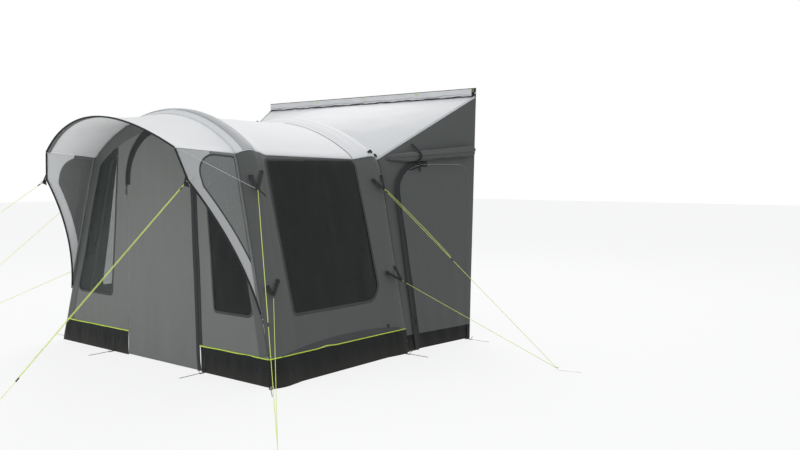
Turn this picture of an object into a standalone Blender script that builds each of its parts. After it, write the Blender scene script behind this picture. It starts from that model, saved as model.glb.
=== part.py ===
"""Inflatable driveaway awning with a hooded porch and a tunnel to the vehicle.

The awning is drawn about its own middle: x to the right, y from the foot of the front wall
towards the vehicle, z up from the ground. Everything hangs under one empty, which sets the
origin under the middle of the awning's box, without its guy ropes, runners and guy pegs.
"""

import math

import bmesh
import bpy
from mathutils import Matrix, Vector

# Body
FRONT_WIDTH = 2.91
REAR_WIDTH = 2.97
BODY_DEPTH = 1.60
FRONT_APEX = 2.087
REAR_APEX = 2.075
FRONT_ROOF_RADIUS = 1.55
REAR_ROOF_RADIUS = 1.90
FRONT_LEAN = 0.27
REAR_LEAN = 0.21
EAVE_RADIUS = 0.25
SEAM_TURN = math.radians(53.0)
FRONT_RAKE = 0.026
SKIRT_HEIGHT = 0.205
CLOTH = 0.003
SEAM_GAP = 0.0003

# Air beams
BEAM_RADIUS = 0.065
BEAM_SETBACK = 0.11
BEAM_SIDES = 12
BEAM_GAP = 0.0007
SLEEVE_WALL = 0.0015
BLADDER_CLEARANCE = 0.0005
BLADDER_FOOT = 0.006
RIDGE_RISE = 0.055
RIDGE_FOOT_RISE = 0.025
# The cloth over a beam, as distances from the nearest arch and shares of the full rise
RIDGE_PROFILE = [(0.0, 0.0), (0.055, 0.76), (0.09, 1.0), (0.13, 1.0), (0.19, 0.64), (0.30, 0.0)]
VALVE_RADIUS = 0.022
VALVE_TAPER = 0.9
VALVE_STEPS = 16
VALVE_SEAT = 0.0004
VALVE_HEIGHT = 0.012
VALVE_LEVEL = 0.45
CAP_RADIUS = 0.019
CAP_HEIGHT = 0.014

# Hood and its two wings
BROW_REACH = 0.57
BROW_APEX = 2.03
BROW_CORNER_HALF = 0.905
BROW_CORNER_REACH = 0.46
BROW_CORNER_HEIGHT = 1.77
BROW_KNEE_HALF = 0.995
BROW_KNEE_REACH = 0.41
BROW_KNEE_HEIGHT = 1.53
WING_FOOT = 0.50
WING_BOW = 0.075
WING_BORDER = 0.09
WING_WINDOW_FOOT = 0.86
WING_WINDOW_CORNER = 0.15
WING_WINDOW_TIP = 0.002
WING_SEAM_BORDER = 0.02
WING_TOP_BORDER = 0.03
HOOD_DIP = 0.02
POLE_RADIUS = 0.006
POLE_GAP = 0.0005
POLE_JOINT_GAP = 0.0012

# Front wall
DOOR_LEFT = -0.38
DOOR_LEFT_LEAN = -0.05
DOOR_RIGHT = 0.62
DOOR_RIGHT_LEAN = -0.10
DOOR_TOP = 1.975
DOOR_CORNER = 0.44
DOOR_FLOOR_GAP = 0.008
WINDOW_LEFT_FOOT = 0.675
WINDOW_LEFT_LEAN = -0.03
WINDOW_RIGHT_FOOT = 0.833
WINDOW_RIGHT_LEAN = -0.134
FRONT_WINDOW_SILL = 0.50
FRONT_WINDOW_BORDER = 0.105

# Side windows, as distances from the foot of the front wall and heights
SIDE_WINDOW_FRONT = 0.32
SIDE_WINDOW_FRONT_TOP = 0.285
SIDE_WINDOW_REAR = 1.34
SIDE_WINDOW_REAR_TOP = 1.295
SIDE_WINDOW_SILL = 0.48
SIDE_WINDOW_TOP = 1.70
SIDE_WINDOW_CORNER = 0.16
SIDE_WINDOW_SMALL_CORNER = 0.04

# Tunnel
TUNNEL_DEPTH = 0.845
TUNNEL_FOOT_HALF = 1.59
TUNNEL_FOOT_SHORT = 0.03
STRIP_LEFT = -1.215
STRIP_RIGHT = 1.645
STRIP_FOOT = 2.32
STRIP_HEIGHT = 0.08
STRIP_WAVE = 0.006
STRIP_WAVES = 11
BEAD_RADIUS = 0.0035
TUNNEL_DOOR_INSET = 0.13
TUNNEL_DOOR_WIDTH = 0.62
TUNNEL_DOOR_TOP = 1.67
TUNNEL_DOOR_CORNER = 0.26
TUNNEL_DOOR_SMALL_CORNER = 0.065
HINGE_CLEARANCE = 0.003
ROLL_RADIUS = 0.048
ROLL_LOBE = 1.08
ROLL_TWIST = 4.0
ROLL_TIP = 0.6
ROLL_TAPER = 0.3
ROLL_STEPS = 12
ROLL_SEAT = 0.0010
ROLL_FRONT_LEVEL = 1.715
ROLL_REAR_LEVEL = 1.80
ROLL_INSET = 0.06
ROLL_LENGTH = 0.72

# Zip sliders
SLIDER_WIDTH = 0.012
SLIDER_DEPTH = 0.008
SLIDER_LENGTH = 0.030
DOOR_SLIDER_LEVEL = 1.48
TUNNEL_SLIDER_LEVEL = 0.30
SLIDER_AIM = 0.1

# Guy ropes and pegs
ROPE_DIAMETER = 0.004
ROPE_STEPS = 8
ROPE_SEAT = 0.0004
ROPE_RIM_STEPS = 12
ROPE_SEARCH = 0.03
PEG_ROD = 0.003
PEG_LENGTH = 0.18
PEG_HOOK = 0.012
HOOK_STEPS = 6
RUNNER_LENGTH = 0.032
RUNNER_RADIUS = 0.0075
RUNNER_FLATNESS = 0.7
RUNNER_STEPS = 12
RUNNER_CLEARANCE = 0.0006
STRAP_WIDTH = 0.025
STRAP_THICKNESS = 0.002
STRAP_LENGTH = 0.055
STRAP_LIFT = 0.0005
STRAP_SEAM = 0.002
UPPER_GUY = 1.52
LOWER_GUY = 0.69
GUY_PEGS = {
    "hood_left": (-2.145, -2.0),
    "hood_right": (0.485, -1.61),
    "front_left": (-2.39, -0.965),
    "front_right": (2.635, -1.07),
    "rear_right": (2.825, 1.80),
}
RUNNERS = {
    "guy_hood_right": 0.865,
    "guy_front_right_upper": 0.60,
    "guy_rear_right_upper": 0.44,
}
SIDE_STRAPS = {"left": [0.085], "right": [1.515]}
FRONT_STRAPS = {"left": [-0.61], "right": [0.66, 1.42]}
CORNER_STRAP_TURN = math.radians(50.0)
TUNNEL_STRAP = 2.38

# Reach of the cutters through the sides and through the front
SIDE_CUT_IN = 0.6
SIDE_CUT_OUT = 2.2
FRONT_CUT = 0.5

# Places of the mesh rows and columns
ROOF_STATIONS = [0.0, 0.25, 0.5, 0.75, 1.0, 1.5, 2.0]
EAVE_STATIONS = [2.0, 2.5, 3.0]
WALL_STATION = 3.5
LEG_STATIONS = [2.5, 3.0, 3.5, 4.0]
TUNNEL_STATIONS = [2.5, 3.0, 3.2, 3.4, 3.6, 3.8, 4.0]
HOOD_STEPS = 4
WING_STEPS = 12
TUNNEL_STEPS = 8
WINDOW_STEPS = 6
CORNER_STEPS = 8
CORNER_SHARE = 0.98
ROD_STEPS = 2
HINGE_STEPS = 12


def clear_scene():
    for item in list(bpy.data.objects):
        bpy.data.objects.remove(item, do_unlink=True)


def finish(name, colour, roughness, metallic=0.0, alpha=1.0):
    """Makes one plain material from a colour, a roughness and a metallic value."""
    material = bpy.data.materials.new(name)
    material.use_nodes = True
    shader = material.node_tree.nodes["Principled BSDF"]
    shader.inputs["Base Color"].default_value = (*colour, 1.0)
    shader.inputs["Roughness"].default_value = roughness
    shader.inputs["Metallic"].default_value = metallic
    shader.inputs["Alpha"].default_value = alpha
    return material


class Station:
    """Stations round a cross section, counted from the apex down to the ground."""

    ROOF_END = 1.0
    SEAM = 2.0
    KNEE = 2.5
    WALL = 3.0
    GROUND = 4.0


class Section:
    """One cross section: roof arc, eave bend and leaning wall, mirrored about the middle.

    A station is 0 at the apex, 1 where the roof arc ends, 2 at the eave seam, 3 where the
    wall starts and 4 on the ground. Negative stations lie on the left.
    """

    def __init__(self, width, apex, radius, lean):
        self.half = width / 2
        self.radius = radius
        self.lean = lean
        reach = self.half - EAVE_RADIUS * math.hypot(1.0, lean)
        roof_centre = apex - radius
        span = radius - EAVE_RADIUS
        quad = 1.0 + lean ** 2
        linear = -2.0 * (reach * lean + roof_centre)
        constant = reach ** 2 + roof_centre ** 2 - span ** 2
        root = math.sqrt(linear ** 2 - 4.0 * quad * constant)
        self.bend_z = (root - linear) / (2.0 * quad)
        self.bend_x = reach - lean * self.bend_z
        self.roof_centre = roof_centre
        self.roof_turn = math.asin(self.bend_x / span)
        self.wall_turn = math.atan2(1.0, lean)
        self.wall_top = self.bend_z + EAVE_RADIUS * math.cos(self.wall_turn)

    def turn(self, station):
        """Angle of the outward normal from straight up."""
        place = abs(station)
        if place <= Station.ROOF_END:
            return self.roof_turn * place
        if place <= Station.SEAM:
            return self.roof_turn + (SEAM_TURN - self.roof_turn) * (place - Station.ROOF_END)
        if place <= Station.WALL:
            return SEAM_TURN + (self.wall_turn - SEAM_TURN) * (place - Station.SEAM)
        return self.wall_turn

    def normal(self, station):
        side = -1.0 if station < 0 else 1.0
        turn = self.turn(station)
        return Vector((side * math.sin(turn), 0.0, math.cos(turn)))

    def point(self, station):
        """Place of a station on the outer face, at y 0."""
        side = -1.0 if station < 0 else 1.0
        place = abs(station)
        turn = self.turn(station)
        if place <= Station.ROOF_END:
            x = self.radius * math.sin(turn)
            z = self.roof_centre + self.radius * math.cos(turn)
        elif place <= Station.WALL:
            x = self.bend_x + EAVE_RADIUS * math.sin(turn)
            z = self.bend_z + EAVE_RADIUS * math.cos(turn)
        else:
            z = self.wall_top * (Station.GROUND - place)
            x = self.half - self.lean * z
        return Vector((side * x, 0.0, z))

    def station_at_height(self, height):
        """Station on the right wall at a height, or in the eave bend above the wall."""
        if height <= self.wall_top:
            return Station.GROUND - height / self.wall_top
        turn = math.acos((height - self.bend_z) / EAVE_RADIUS)
        return Station.WALL - (self.wall_turn - turn) / (self.wall_turn - SEAM_TURN)


FRONT = Section(FRONT_WIDTH, FRONT_APEX, FRONT_ROOF_RADIUS, FRONT_LEAN)
REAR = Section(REAR_WIDTH, REAR_APEX, REAR_ROOF_RADIUS, REAR_LEAN)


def front_y(height):
    """The front plane leans back as it rises."""
    return FRONT_RAKE * height


def slide_to(point, station, level):
    """Slides a point along the wall's slope until it is at a level."""
    side = -1.0 if station < 0 else 1.0
    point.x += side * FRONT_LEAN * (point.z - level)
    point.z = level


def shell_point(station, behind, depth=0.0, rise=0.0):
    """Point of the body at a station, a distance behind the front plane, under the outer face."""
    front = FRONT.point(station)
    front.y = front_y(front.z)
    rear = REAR.point(station)
    rear.y = BODY_DEPTH
    share = behind / (rear.y - front.y)
    point = front.lerp(rear, share) + FRONT.normal(station) * (rise - depth)
    if abs(station) >= Station.GROUND:
        slide_to(point, station, 0.0)
    return point


def ridge_profile():
    """Distances behind the front plane and the shares of the rise over both air beams."""
    rear = [(BODY_DEPTH - place, share) for place, share in reversed(RIDGE_PROFILE)]
    return RIDGE_PROFILE + [(BODY_DEPTH / 2, 0.0)] + rear


def ridge_rise(station):
    """Rise of the cloth over a beam, which gets less down the walls."""
    share = max(0.0, min(1.0, abs(station) - EAVE_STATIONS[-1]))
    return RIDGE_RISE + (RIDGE_FOOT_RISE - RIDGE_RISE) * share


def body_row(station, place):
    """Distance behind the front plane of a profile place, which the rake shortens."""
    height = FRONT.point(station).z
    if place <= BODY_DEPTH / 2:
        return place
    return place - front_y(height)


def brow_point(station):
    """Front edge of hood and wing: an arch to the seam, then a leg down to the wing's foot."""
    side = -1.0 if station < 0 else 1.0
    place = abs(station)
    corner = Vector((BROW_CORNER_HALF, -BROW_CORNER_REACH, BROW_CORNER_HEIGHT))
    knee = Vector((BROW_KNEE_HALF, -BROW_KNEE_REACH, BROW_KNEE_HEIGHT))
    foot = shell_point(FRONT.station_at_height(WING_FOOT), 0.0)
    foot.y -= SEAM_GAP
    if place <= Station.SEAM:
        share = FRONT.point(place).x / FRONT.point(Station.SEAM).x
        x = BROW_CORNER_HALF * share
        y = -BROW_REACH + (BROW_REACH - BROW_CORNER_REACH) * share ** 2
        z = BROW_APEX - (BROW_APEX - BROW_CORNER_HEIGHT) * share ** 2
        point = Vector((x, y, z))
    elif place <= Station.KNEE:
        point = corner.lerp(knee, (place - Station.SEAM) / (Station.KNEE - Station.SEAM))
    else:
        share = (place - Station.KNEE) / (Station.GROUND - Station.KNEE)
        point = knee.lerp(foot, share)
        point.y += WING_BOW * 4.0 * share * (1.0 - share)
    point.x *= side
    return point


def ahead_of_brow(station, distance):
    """Point straight ahead of the brow, a distance off its sloping edge."""
    leg = (brow_point(LEG_STATIONS[1]) - brow_point(LEG_STATIONS[0])).normalized()
    forward = distance / math.sqrt(1.0 - leg.y ** 2)
    return brow_point(station) - Vector((0.0, forward, 0.0))


def wing_edge(place):
    """Rear edge of the wing on the front plane, for a station of the brow's leg."""
    seam = FRONT.point(Station.SEAM).z
    knee_share = (BROW_CORNER_HEIGHT - BROW_KNEE_HEIGHT) / (BROW_CORNER_HEIGHT - WING_FOOT)
    if place <= Station.KNEE:
        share = knee_share * (place - Station.SEAM) / (Station.KNEE - Station.SEAM)
    else:
        leg = (place - Station.KNEE) / (Station.GROUND - Station.KNEE)
        share = knee_share + (1.0 - knee_share) * leg
    return FRONT.station_at_height(seam + (WING_FOOT - seam) * share)


class Build:
    """Makes named objects under one empty and keeps what the record's origin leaves out."""

    def __init__(self):
        self.pitch = bpy.data.objects.new("pitch", None)
        bpy.context.collection.objects.link(self.pitch)
        self.loose = []
        self.finishes = {
            "light_cloth": finish("light_cloth", (0.76, 0.78, 0.79), 0.75),
            "grey_cloth": finish("grey_cloth", (0.155, 0.163, 0.158), 0.8),
            "side_cloth": finish("side_cloth", (0.085, 0.09, 0.087), 0.8),
            "dark_cloth": finish("dark_cloth", (0.045, 0.045, 0.045), 0.8),
            "skirt_sheet": finish("skirt_sheet", (0.03, 0.03, 0.03), 0.5),
            "window_film": finish("window_film", (0.035, 0.037, 0.037), 0.15, 0.0, 0.6),
            "bladder_film": finish("bladder_film", (0.55, 0.57, 0.58), 0.35),
            "moulding": finish("moulding", (0.02, 0.02, 0.02), 0.45),
            "glass_fibre": finish("glass_fibre", (0.06, 0.06, 0.06), 0.35),
            "steel": finish("steel", (0.62, 0.62, 0.6), 0.35, 1.0),
            "rope": finish("rope", (0.53, 0.7, 0.07), 0.7),
        }

    def add(self, name, mesh, slot, pivot=None):
        """Turns a bmesh into an object, whose origin is on its joint axis if it has one."""
        bmesh.ops.remove_doubles(mesh, verts=mesh.verts, dist=1e-6)
        bmesh.ops.recalc_face_normals(mesh, faces=mesh.faces)
        if pivot is not None:
            bmesh.ops.translate(mesh, verts=mesh.verts, vec=-Vector(pivot))
        data = bpy.data.meshes.new(name)
        mesh.to_mesh(data)
        mesh.free()
        item = bpy.data.objects.new(name, data)
        bpy.context.collection.objects.link(item)
        item.parent = self.pitch
        if pivot is not None:
            item.location = pivot
        data.materials.append(self.finishes[slot])
        return item

    def add_rod(self, name, points, radius, slot, loose=False):
        """A round rod or rope along points, with closed ends."""
        curve = bpy.data.curves.new(name, "CURVE")
        curve.dimensions = "3D"
        curve.bevel_depth = radius
        curve.bevel_resolution = ROD_STEPS
        curve.use_fill_caps = True
        spline = curve.splines.new("POLY")
        spline.points.add(len(points) - 1)
        for knot, point in zip(spline.points, points):
            knot.co = (*point, 1.0)
        item = bpy.data.objects.new(name, curve)
        bpy.context.collection.objects.link(item)
        item.parent = self.pitch
        curve.materials.append(self.finishes[slot])
        if loose:
            self.loose.append(item)
        return item

    def cut(self, item, tool, operation="DIFFERENCE"):
        tool.hide_render = True
        tool.display_type = "WIRE"
        step = item.modifiers.new("Cut", "BOOLEAN")
        step.operation = operation
        step.solver = "EXACT"
        step.object = tool

    def settle(self):
        """Moves the awning so that the origin lies under the middle of its box."""
        bpy.context.view_layer.update()
        graph = bpy.context.evaluated_depsgraph_get()
        low = Vector((1e9, 1e9, 1e9))
        high = -low
        for item in bpy.context.scene.objects:
            if item.type == "EMPTY" or item.hide_render or item in self.loose:
                continue
            shape = item.evaluated_get(graph)
            for corner in shape.bound_box:
                place = shape.matrix_world @ Vector(corner)
                low = Vector(map(min, low, place))
                high = Vector(map(max, high, place))
        self.pitch.location = (-(low.x + high.x) / 2, -(low.y + high.y) / 2, 0.0)


def grid_panel(columns, rows, place):
    """Closed sheet between an outer and an inner face: place(column, row, depth) gives both."""
    mesh = bmesh.new()
    layers = []
    for depth in (0.0, CLOTH):
        made = bmesh.ops.create_grid(
            mesh, x_segments=len(columns) - 1, y_segments=len(rows) - 1, size=1.0)
        verts = made["verts"]
        quads = [face for face in mesh.faces if len(face.verts) == 4]
        bmesh.ops.triangulate(mesh, faces=quads, quad_method="FIXED")
        for vert in verts:
            column = columns[round((vert.co.x + 1.0) / 2.0 * (len(columns) - 1))]
            row = rows[round((vert.co.y + 1.0) / 2.0 * (len(rows) - 1))]
            vert.co = place(column, row, depth)
        layers.append(verts)
    partner = dict(zip(layers[0], layers[1]))
    rim = [edge for edge in mesh.edges if edge.is_boundary and edge.verts[0] in partner]
    for edge in rim:
        first, second = edge.verts
        mesh.faces.new((first, second, partner[second], partner[first]))
    return mesh


def outline_prism(points, lift):
    """Closed prism of an outline: lift(a, b, end) places each corner at both ends."""
    mesh = bmesh.new()
    near = [mesh.verts.new(lift(a, b, 0)) for a, b in points]
    far = [mesh.verts.new(lift(a, b, 1)) for a, b in points]
    mesh.faces.new(near)
    mesh.faces.new(list(reversed(far)))
    for index in range(len(points)):
        mesh.faces.new((near[index - 1], near[index], far[index], far[index - 1]))
    return mesh


def corner_runs(corners):
    """Length each corner's arc takes of its sides, less where two arcs would meet."""
    places = [Vector((a, b)) for a, b, _ in corners]
    runs = []
    for index, (_, _, radius) in enumerate(corners):
        run = 0.0
        if radius > 0.0:
            before = places[index - 1] - places[index]
            after = places[(index + 1) % len(places)] - places[index]
            run = radius / math.tan(before.angle(after) / 2)
        runs.append(run)
    for index in range(len(places)):
        room = CORNER_SHARE * (places[index] - places[index - 1]).length
        taken = runs[index] + runs[index - 1]
        if taken > room:
            runs[index] *= room / taken
            runs[index - 1] *= room / taken
    return runs


def round_outline(corners):
    """Outline of corners given as (a, b, radius), each rounded by an arc."""
    points = []
    count = len(corners)
    for index, run in enumerate(corner_runs(corners)):
        here = Vector(corners[index][:2])
        if run <= 0.0:
            points.append(tuple(here))
            continue
        before = Vector(corners[index - 1][:2]) - here
        after = Vector(corners[(index + 1) % count][:2]) - here
        half = before.angle(after) / 2
        radius = run * math.tan(half)
        start = here + before.normalized() * run
        end = here + after.normalized() * run
        centre = here + (before.normalized() + after.normalized()).normalized() * (
            radius / math.sin(half))
        first = start - centre
        sweep = first.angle_signed(end - centre)
        for step in range(CORNER_STEPS + 1):
            angle = -sweep * step / CORNER_STEPS
            turned = Vector((first.x * math.cos(angle) - first.y * math.sin(angle),
                             first.x * math.sin(angle) + first.y * math.cos(angle)))
            points.append(tuple(centre + turned))
    return points


def inset_corners(corners, inset):
    """The same outline drawn in by a small inset on every side, going anticlockwise."""
    moved = []
    count = len(corners)
    for index, (a, b, radius) in enumerate(corners):
        here = Vector((a, b))
        before = (here - Vector(corners[index - 1][:2])).normalized()
        after = (Vector(corners[(index + 1) % count][:2]) - here).normalized()
        inner_before = Vector((-before.y, before.x))
        inner_after = Vector((-after.y, after.x))
        step = (inner_before + inner_after).normalized()
        length = inset / max(step.dot(inner_before), 0.2)
        moved.append((a + step.x * length, b + step.y * length, max(radius - inset, 0.0)))
    return moved


def ring_tube(rings, bore=None):
    """Closed tube through rings of points, or one with open ends round a bore."""
    mesh = bmesh.new()

    def skin(loops):
        made = [[mesh.verts.new(point) for point in loop] for loop in loops]
        for before, after in zip(made, made[1:]):
            for index in range(len(before)):
                mesh.faces.new(
                    (before[index - 1], before[index], after[index], after[index - 1]))
        return made

    outer = skin(rings)
    if bore is None:
        mesh.faces.new(outer[0])
        mesh.faces.new(list(reversed(outer[-1])))
        return mesh
    inner = skin(bore)
    for end in (0, -1):
        for index in range(len(outer[end])):
            mesh.faces.new((outer[end][index - 1], outer[end][index],
                            inner[end][index], inner[end][index - 1]))
    return mesh


def solve(measure, target, low, high):
    """Place between low and high where a steadily changing measure reaches its target."""
    rising = measure(high) > measure(low)
    for _ in range(50):
        middle = (low + high) / 2
        if (measure(middle) < target) == rising:
            low = middle
        else:
            high = middle
    return (low + high) / 2


def both_sides(stations):
    """Stations of both halves, from the left end to the right end."""
    return [-station for station in reversed(stations) if station > 0.0] + list(stations)


def build_roof(build):
    columns = both_sides(ROOF_STATIONS)

    def place(station, row, depth):
        rise = ridge_rise(station) * row[1]
        return shell_point(station, body_row(station, row[0]), depth, rise)

    build.add("roof_panel", grid_panel(columns, ridge_profile(), place), "light_cloth")


def wall_panel(side, stations):
    """Sheet of the side wall, with the rise of the roof's ridges carried down it."""
    def place(station, row, depth):
        rise = ridge_rise(station) * row[1]
        return shell_point(side * station, body_row(station, row[0]), depth, rise)

    return grid_panel(stations, ridge_profile(), place)


def side_prism(side, outline):
    """Prism through a side, of an outline in distances behind the front wall and heights."""
    return outline_prism(
        outline, lambda a, b, end: Vector((side * (SIDE_CUT_OUT if end else SIDE_CUT_IN), a, b)))


def window_pair(build, name, film_name, sheet, prism, corners, slot):
    """A wall with a window cut in it, and the film that fills the window but for the seam."""
    wall = build.add(name, sheet(), slot)
    hole = build.add(name + "_hole", prism(round_outline(corners)), slot)
    build.cut(wall, hole)
    film = build.add(film_name, sheet(), "window_film")
    core = build.add(film_name + "_core",
                     prism(round_outline(inset_corners(corners, SEAM_GAP))), "window_film")
    build.cut(film, core, "INTERSECT")
    return wall


def build_side_walls(build):
    seam_step = SEAM_GAP / (EAVE_RADIUS * (FRONT.wall_turn - SEAM_TURN))
    skirt_top = FRONT.station_at_height(SKIRT_HEIGHT)
    skirt_step = SEAM_GAP / FRONT.wall_top
    upper = [Station.SEAM + seam_step] + EAVE_STATIONS[1:] + [WALL_STATION, skirt_top]
    lower = [skirt_top + skirt_step, Station.GROUND]
    corners = [
        (SIDE_WINDOW_FRONT, SIDE_WINDOW_SILL, SIDE_WINDOW_SMALL_CORNER),
        (SIDE_WINDOW_REAR, SIDE_WINDOW_SILL, SIDE_WINDOW_CORNER),
        (SIDE_WINDOW_REAR_TOP, SIDE_WINDOW_TOP, SIDE_WINDOW_SMALL_CORNER),
        (SIDE_WINDOW_FRONT_TOP, SIDE_WINDOW_TOP, SIDE_WINDOW_SMALL_CORNER),
    ]
    for side, word in ((-1, "left"), (1, "right")):
        window_pair(build, f"side_wall_{word}", f"side_window_{word}",
                    lambda: wall_panel(side, upper),
                    lambda outline: side_prism(side, outline), corners, "side_cloth")
        skirt = build.add(f"skirt_side_{word}", wall_panel(side, lower), "skirt_sheet")
        for number, behind in enumerate(SIDE_STRAPS[word]):
            foot = shell_point(side * Station.GROUND, behind, 0.0, RIDGE_FOOT_RISE)
            add_strap(build, skirt, f"skirt_side_{word}", number, foot, Vector((side, 0, 0)))


def add_strap(build, sheet, name, number, foot, outward):
    """Sews a ground strap to a sheet's hem and lays its peg at the strap's end."""
    across = Vector((-outward.y, outward.x, 0.0)) * STRAP_WIDTH / 2
    start = foot - outward * STRAP_SEAM
    end = foot + outward * STRAP_LENGTH
    corners = [start - across, end - across, end + across, start + across]
    outline = [(corner.x, corner.y) for corner in corners]
    heights = (STRAP_LIFT, STRAP_LIFT + STRAP_THICKNESS)
    strap = build.add(f"{name}_strap_{number}", outline_prism(
        outline, lambda a, b, at: Vector((a, b, heights[at]))), "dark_cloth")
    build.cut(sheet, strap, "UNION")
    hook = PEG_HOOK + PEG_ROD
    under = hook - math.sqrt(hook ** 2 - (hook - heights[1]) ** 2)
    back = end - outward * (under - SEAM_GAP)
    add_peg(build, f"base_peg_{name}_{number}", back, outward, False)


def add_peg(build, name, start, outward, loose):
    """Steel peg lying on the ground, with its hook's back at the start point."""
    base = Vector((start.x, start.y, PEG_ROD)) + outward * (PEG_HOOK + PEG_ROD)
    up = Vector((0, 0, 1))
    points = [base + outward * PEG_LENGTH, base + outward * PEG_LENGTH / 2]
    for step in range(HOOK_STEPS + 1):
        angle = math.pi * step / HOOK_STEPS
        points.append(base - outward * PEG_HOOK * math.sin(angle)
                      + up * PEG_HOOK * (1.0 - math.cos(angle)))
    points.append(points[-1] + outward * PEG_HOOK / 2)
    return build.add_rod(name, points, PEG_ROD, "steel", loose)


def front_inner(station, depth=CLOTH + SEAM_GAP):
    """Point just inside the body's inner face, where the front wall ends."""
    return FRONT.point(station) - FRONT.normal(station) * depth


def inner_half(height):
    """Half the clear width between the side walls at a height on the front plane."""
    return (FRONT.half - FRONT_LEAN * height
            - (CLOTH + SEAM_GAP) * math.hypot(1.0, FRONT_LEAN))


def door_edge(side, height):
    """Place of the door's left or right seam at a height."""
    if side < 0:
        return DOOR_LEFT + DOOR_LEFT_LEAN * height
    return DOOR_RIGHT + DOOR_RIGHT_LEAN * height


def front_plate(outline):
    """Sheet in the raked front plane, from an outline of x and heights."""
    return outline_prism(outline, lambda a, b, end: Vector((a, front_y(b) + end * CLOTH, b)))


def front_prism(outline):
    return outline_prism(
        outline, lambda a, b, end: Vector((a, FRONT_CUT if end else -FRONT_CUT, b)))


def front_window_corners(side):
    """Window beside the door: upright inner edge, sill, and an edge that follows the arch."""
    def inset(station):
        return FRONT.point(station) - FRONT.normal(station) * FRONT_WINDOW_BORDER

    if side < 0:
        foot, lean = WINDOW_LEFT_FOOT, WINDOW_LEFT_LEAN
    else:
        foot, lean = WINDOW_RIGHT_FOOT, WINDOW_RIGHT_LEAN
    low = solve(lambda at: inset(at).z, FRONT_WINDOW_SILL, Station.SEAM, Station.GROUND)
    high = solve(lambda at: inset(at).x - lean * inset(at).z, foot, 0.0, Station.WALL)
    edge = [inset(low + (high - low) * step / (2 * WINDOW_STEPS))
            for step in range(2 * WINDOW_STEPS + 1)]
    corners = [(foot + lean * FRONT_WINDOW_SILL, FRONT_WINDOW_SILL, 0.0)]
    corners += [(point.x, point.z, 0.0) for point in edge]
    if side < 0:
        corners = [(-a, b, radius) for a, b, radius in reversed(corners)]
    return corners


def build_front(build):
    stations = both_sides(ROOF_STATIONS + EAVE_STATIONS[1:])
    hem = SKIRT_HEIGHT + SEAM_GAP
    arch = [(front_inner(station).x, front_inner(station).z) for station in stations]
    outline = [(inner_half(hem), hem)] + arch[::-1] + [(-inner_half(hem), hem)]
    wall = build.add("front_wall", front_plate(outline), "grey_cloth")
    door = [
        (door_edge(-1, -SKIRT_HEIGHT), -SKIRT_HEIGHT, 0.0),
        (door_edge(1, -SKIRT_HEIGHT), -SKIRT_HEIGHT, 0.0),
        (door_edge(1, DOOR_TOP), DOOR_TOP, DOOR_CORNER),
        (door_edge(-1, DOOR_TOP), DOOR_TOP, DOOR_CORNER),
    ]
    build.cut(wall, build.add("door_hole", front_prism(round_outline(door)), "grey_cloth"))
    low = DOOR_FLOOR_GAP - SEAM_GAP
    leaf = inset_corners([(door_edge(-1, low), low, 0.0), (door_edge(1, low), low, 0.0)]
                         + door[2:], SEAM_GAP)
    build.add("front_door", front_plate(round_outline(leaf)), "grey_cloth",
              pivot=(DOOR_LEFT, 0.0, 0.0))
    for side, word in ((-1, "left"), (1, "right")):
        corners = front_window_corners(side)
        hole = build.add(f"front_window_{word}_hole",
                         front_prism(round_outline(corners)), "grey_cloth")
        build.cut(wall, hole)
        film = round_outline(inset_corners(corners, SEAM_GAP))
        build.add(f"front_window_{word}", front_plate(film), "window_film")
    for side, word in ((-1, "left"), (1, "right")):
        gap = side * SEAM_GAP
        outline = [
            (door_edge(side, 0.0) + gap, 0.0),
            (door_edge(side, SKIRT_HEIGHT) + gap, SKIRT_HEIGHT),
            (side * inner_half(SKIRT_HEIGHT), SKIRT_HEIGHT),
            (side * inner_half(0.0), 0.0),
        ]
        skirt = build.add(f"skirt_front_{word}", front_plate(outline), "skirt_sheet")
        for number, x in enumerate(FRONT_STRAPS[word]):
            turn = CORNER_STRAP_TURN * number
            outward = Vector((math.sin(turn), -math.cos(turn), 0.0))
            add_strap(build, skirt, f"skirt_front_{word}", number, Vector((x, 0.0, 0.0)), outward)


def hood_face(station, share, depth):
    """Hood between the front arch of the body and the brow, with a slight dip across it."""
    back = shell_point(station, 0.0)
    back.y -= SEAM_GAP
    point = back.lerp(brow_point(station), share)
    span = 1.0 - (station / Station.SEAM) ** 2
    point.z -= HOOD_DIP * 4.0 * share * (1.0 - share) * span
    return point - FRONT.normal(station) * depth


def wing_face(side, place, share, depth):
    """Wing between the body's front edge and the leg of the brow."""
    station = wing_edge(place)
    back = shell_point(side * station, 0.0)
    back.y -= SEAM_GAP
    point = back.lerp(brow_point(side * place), share)
    return point - FRONT.normal(side * station) * depth


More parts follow.
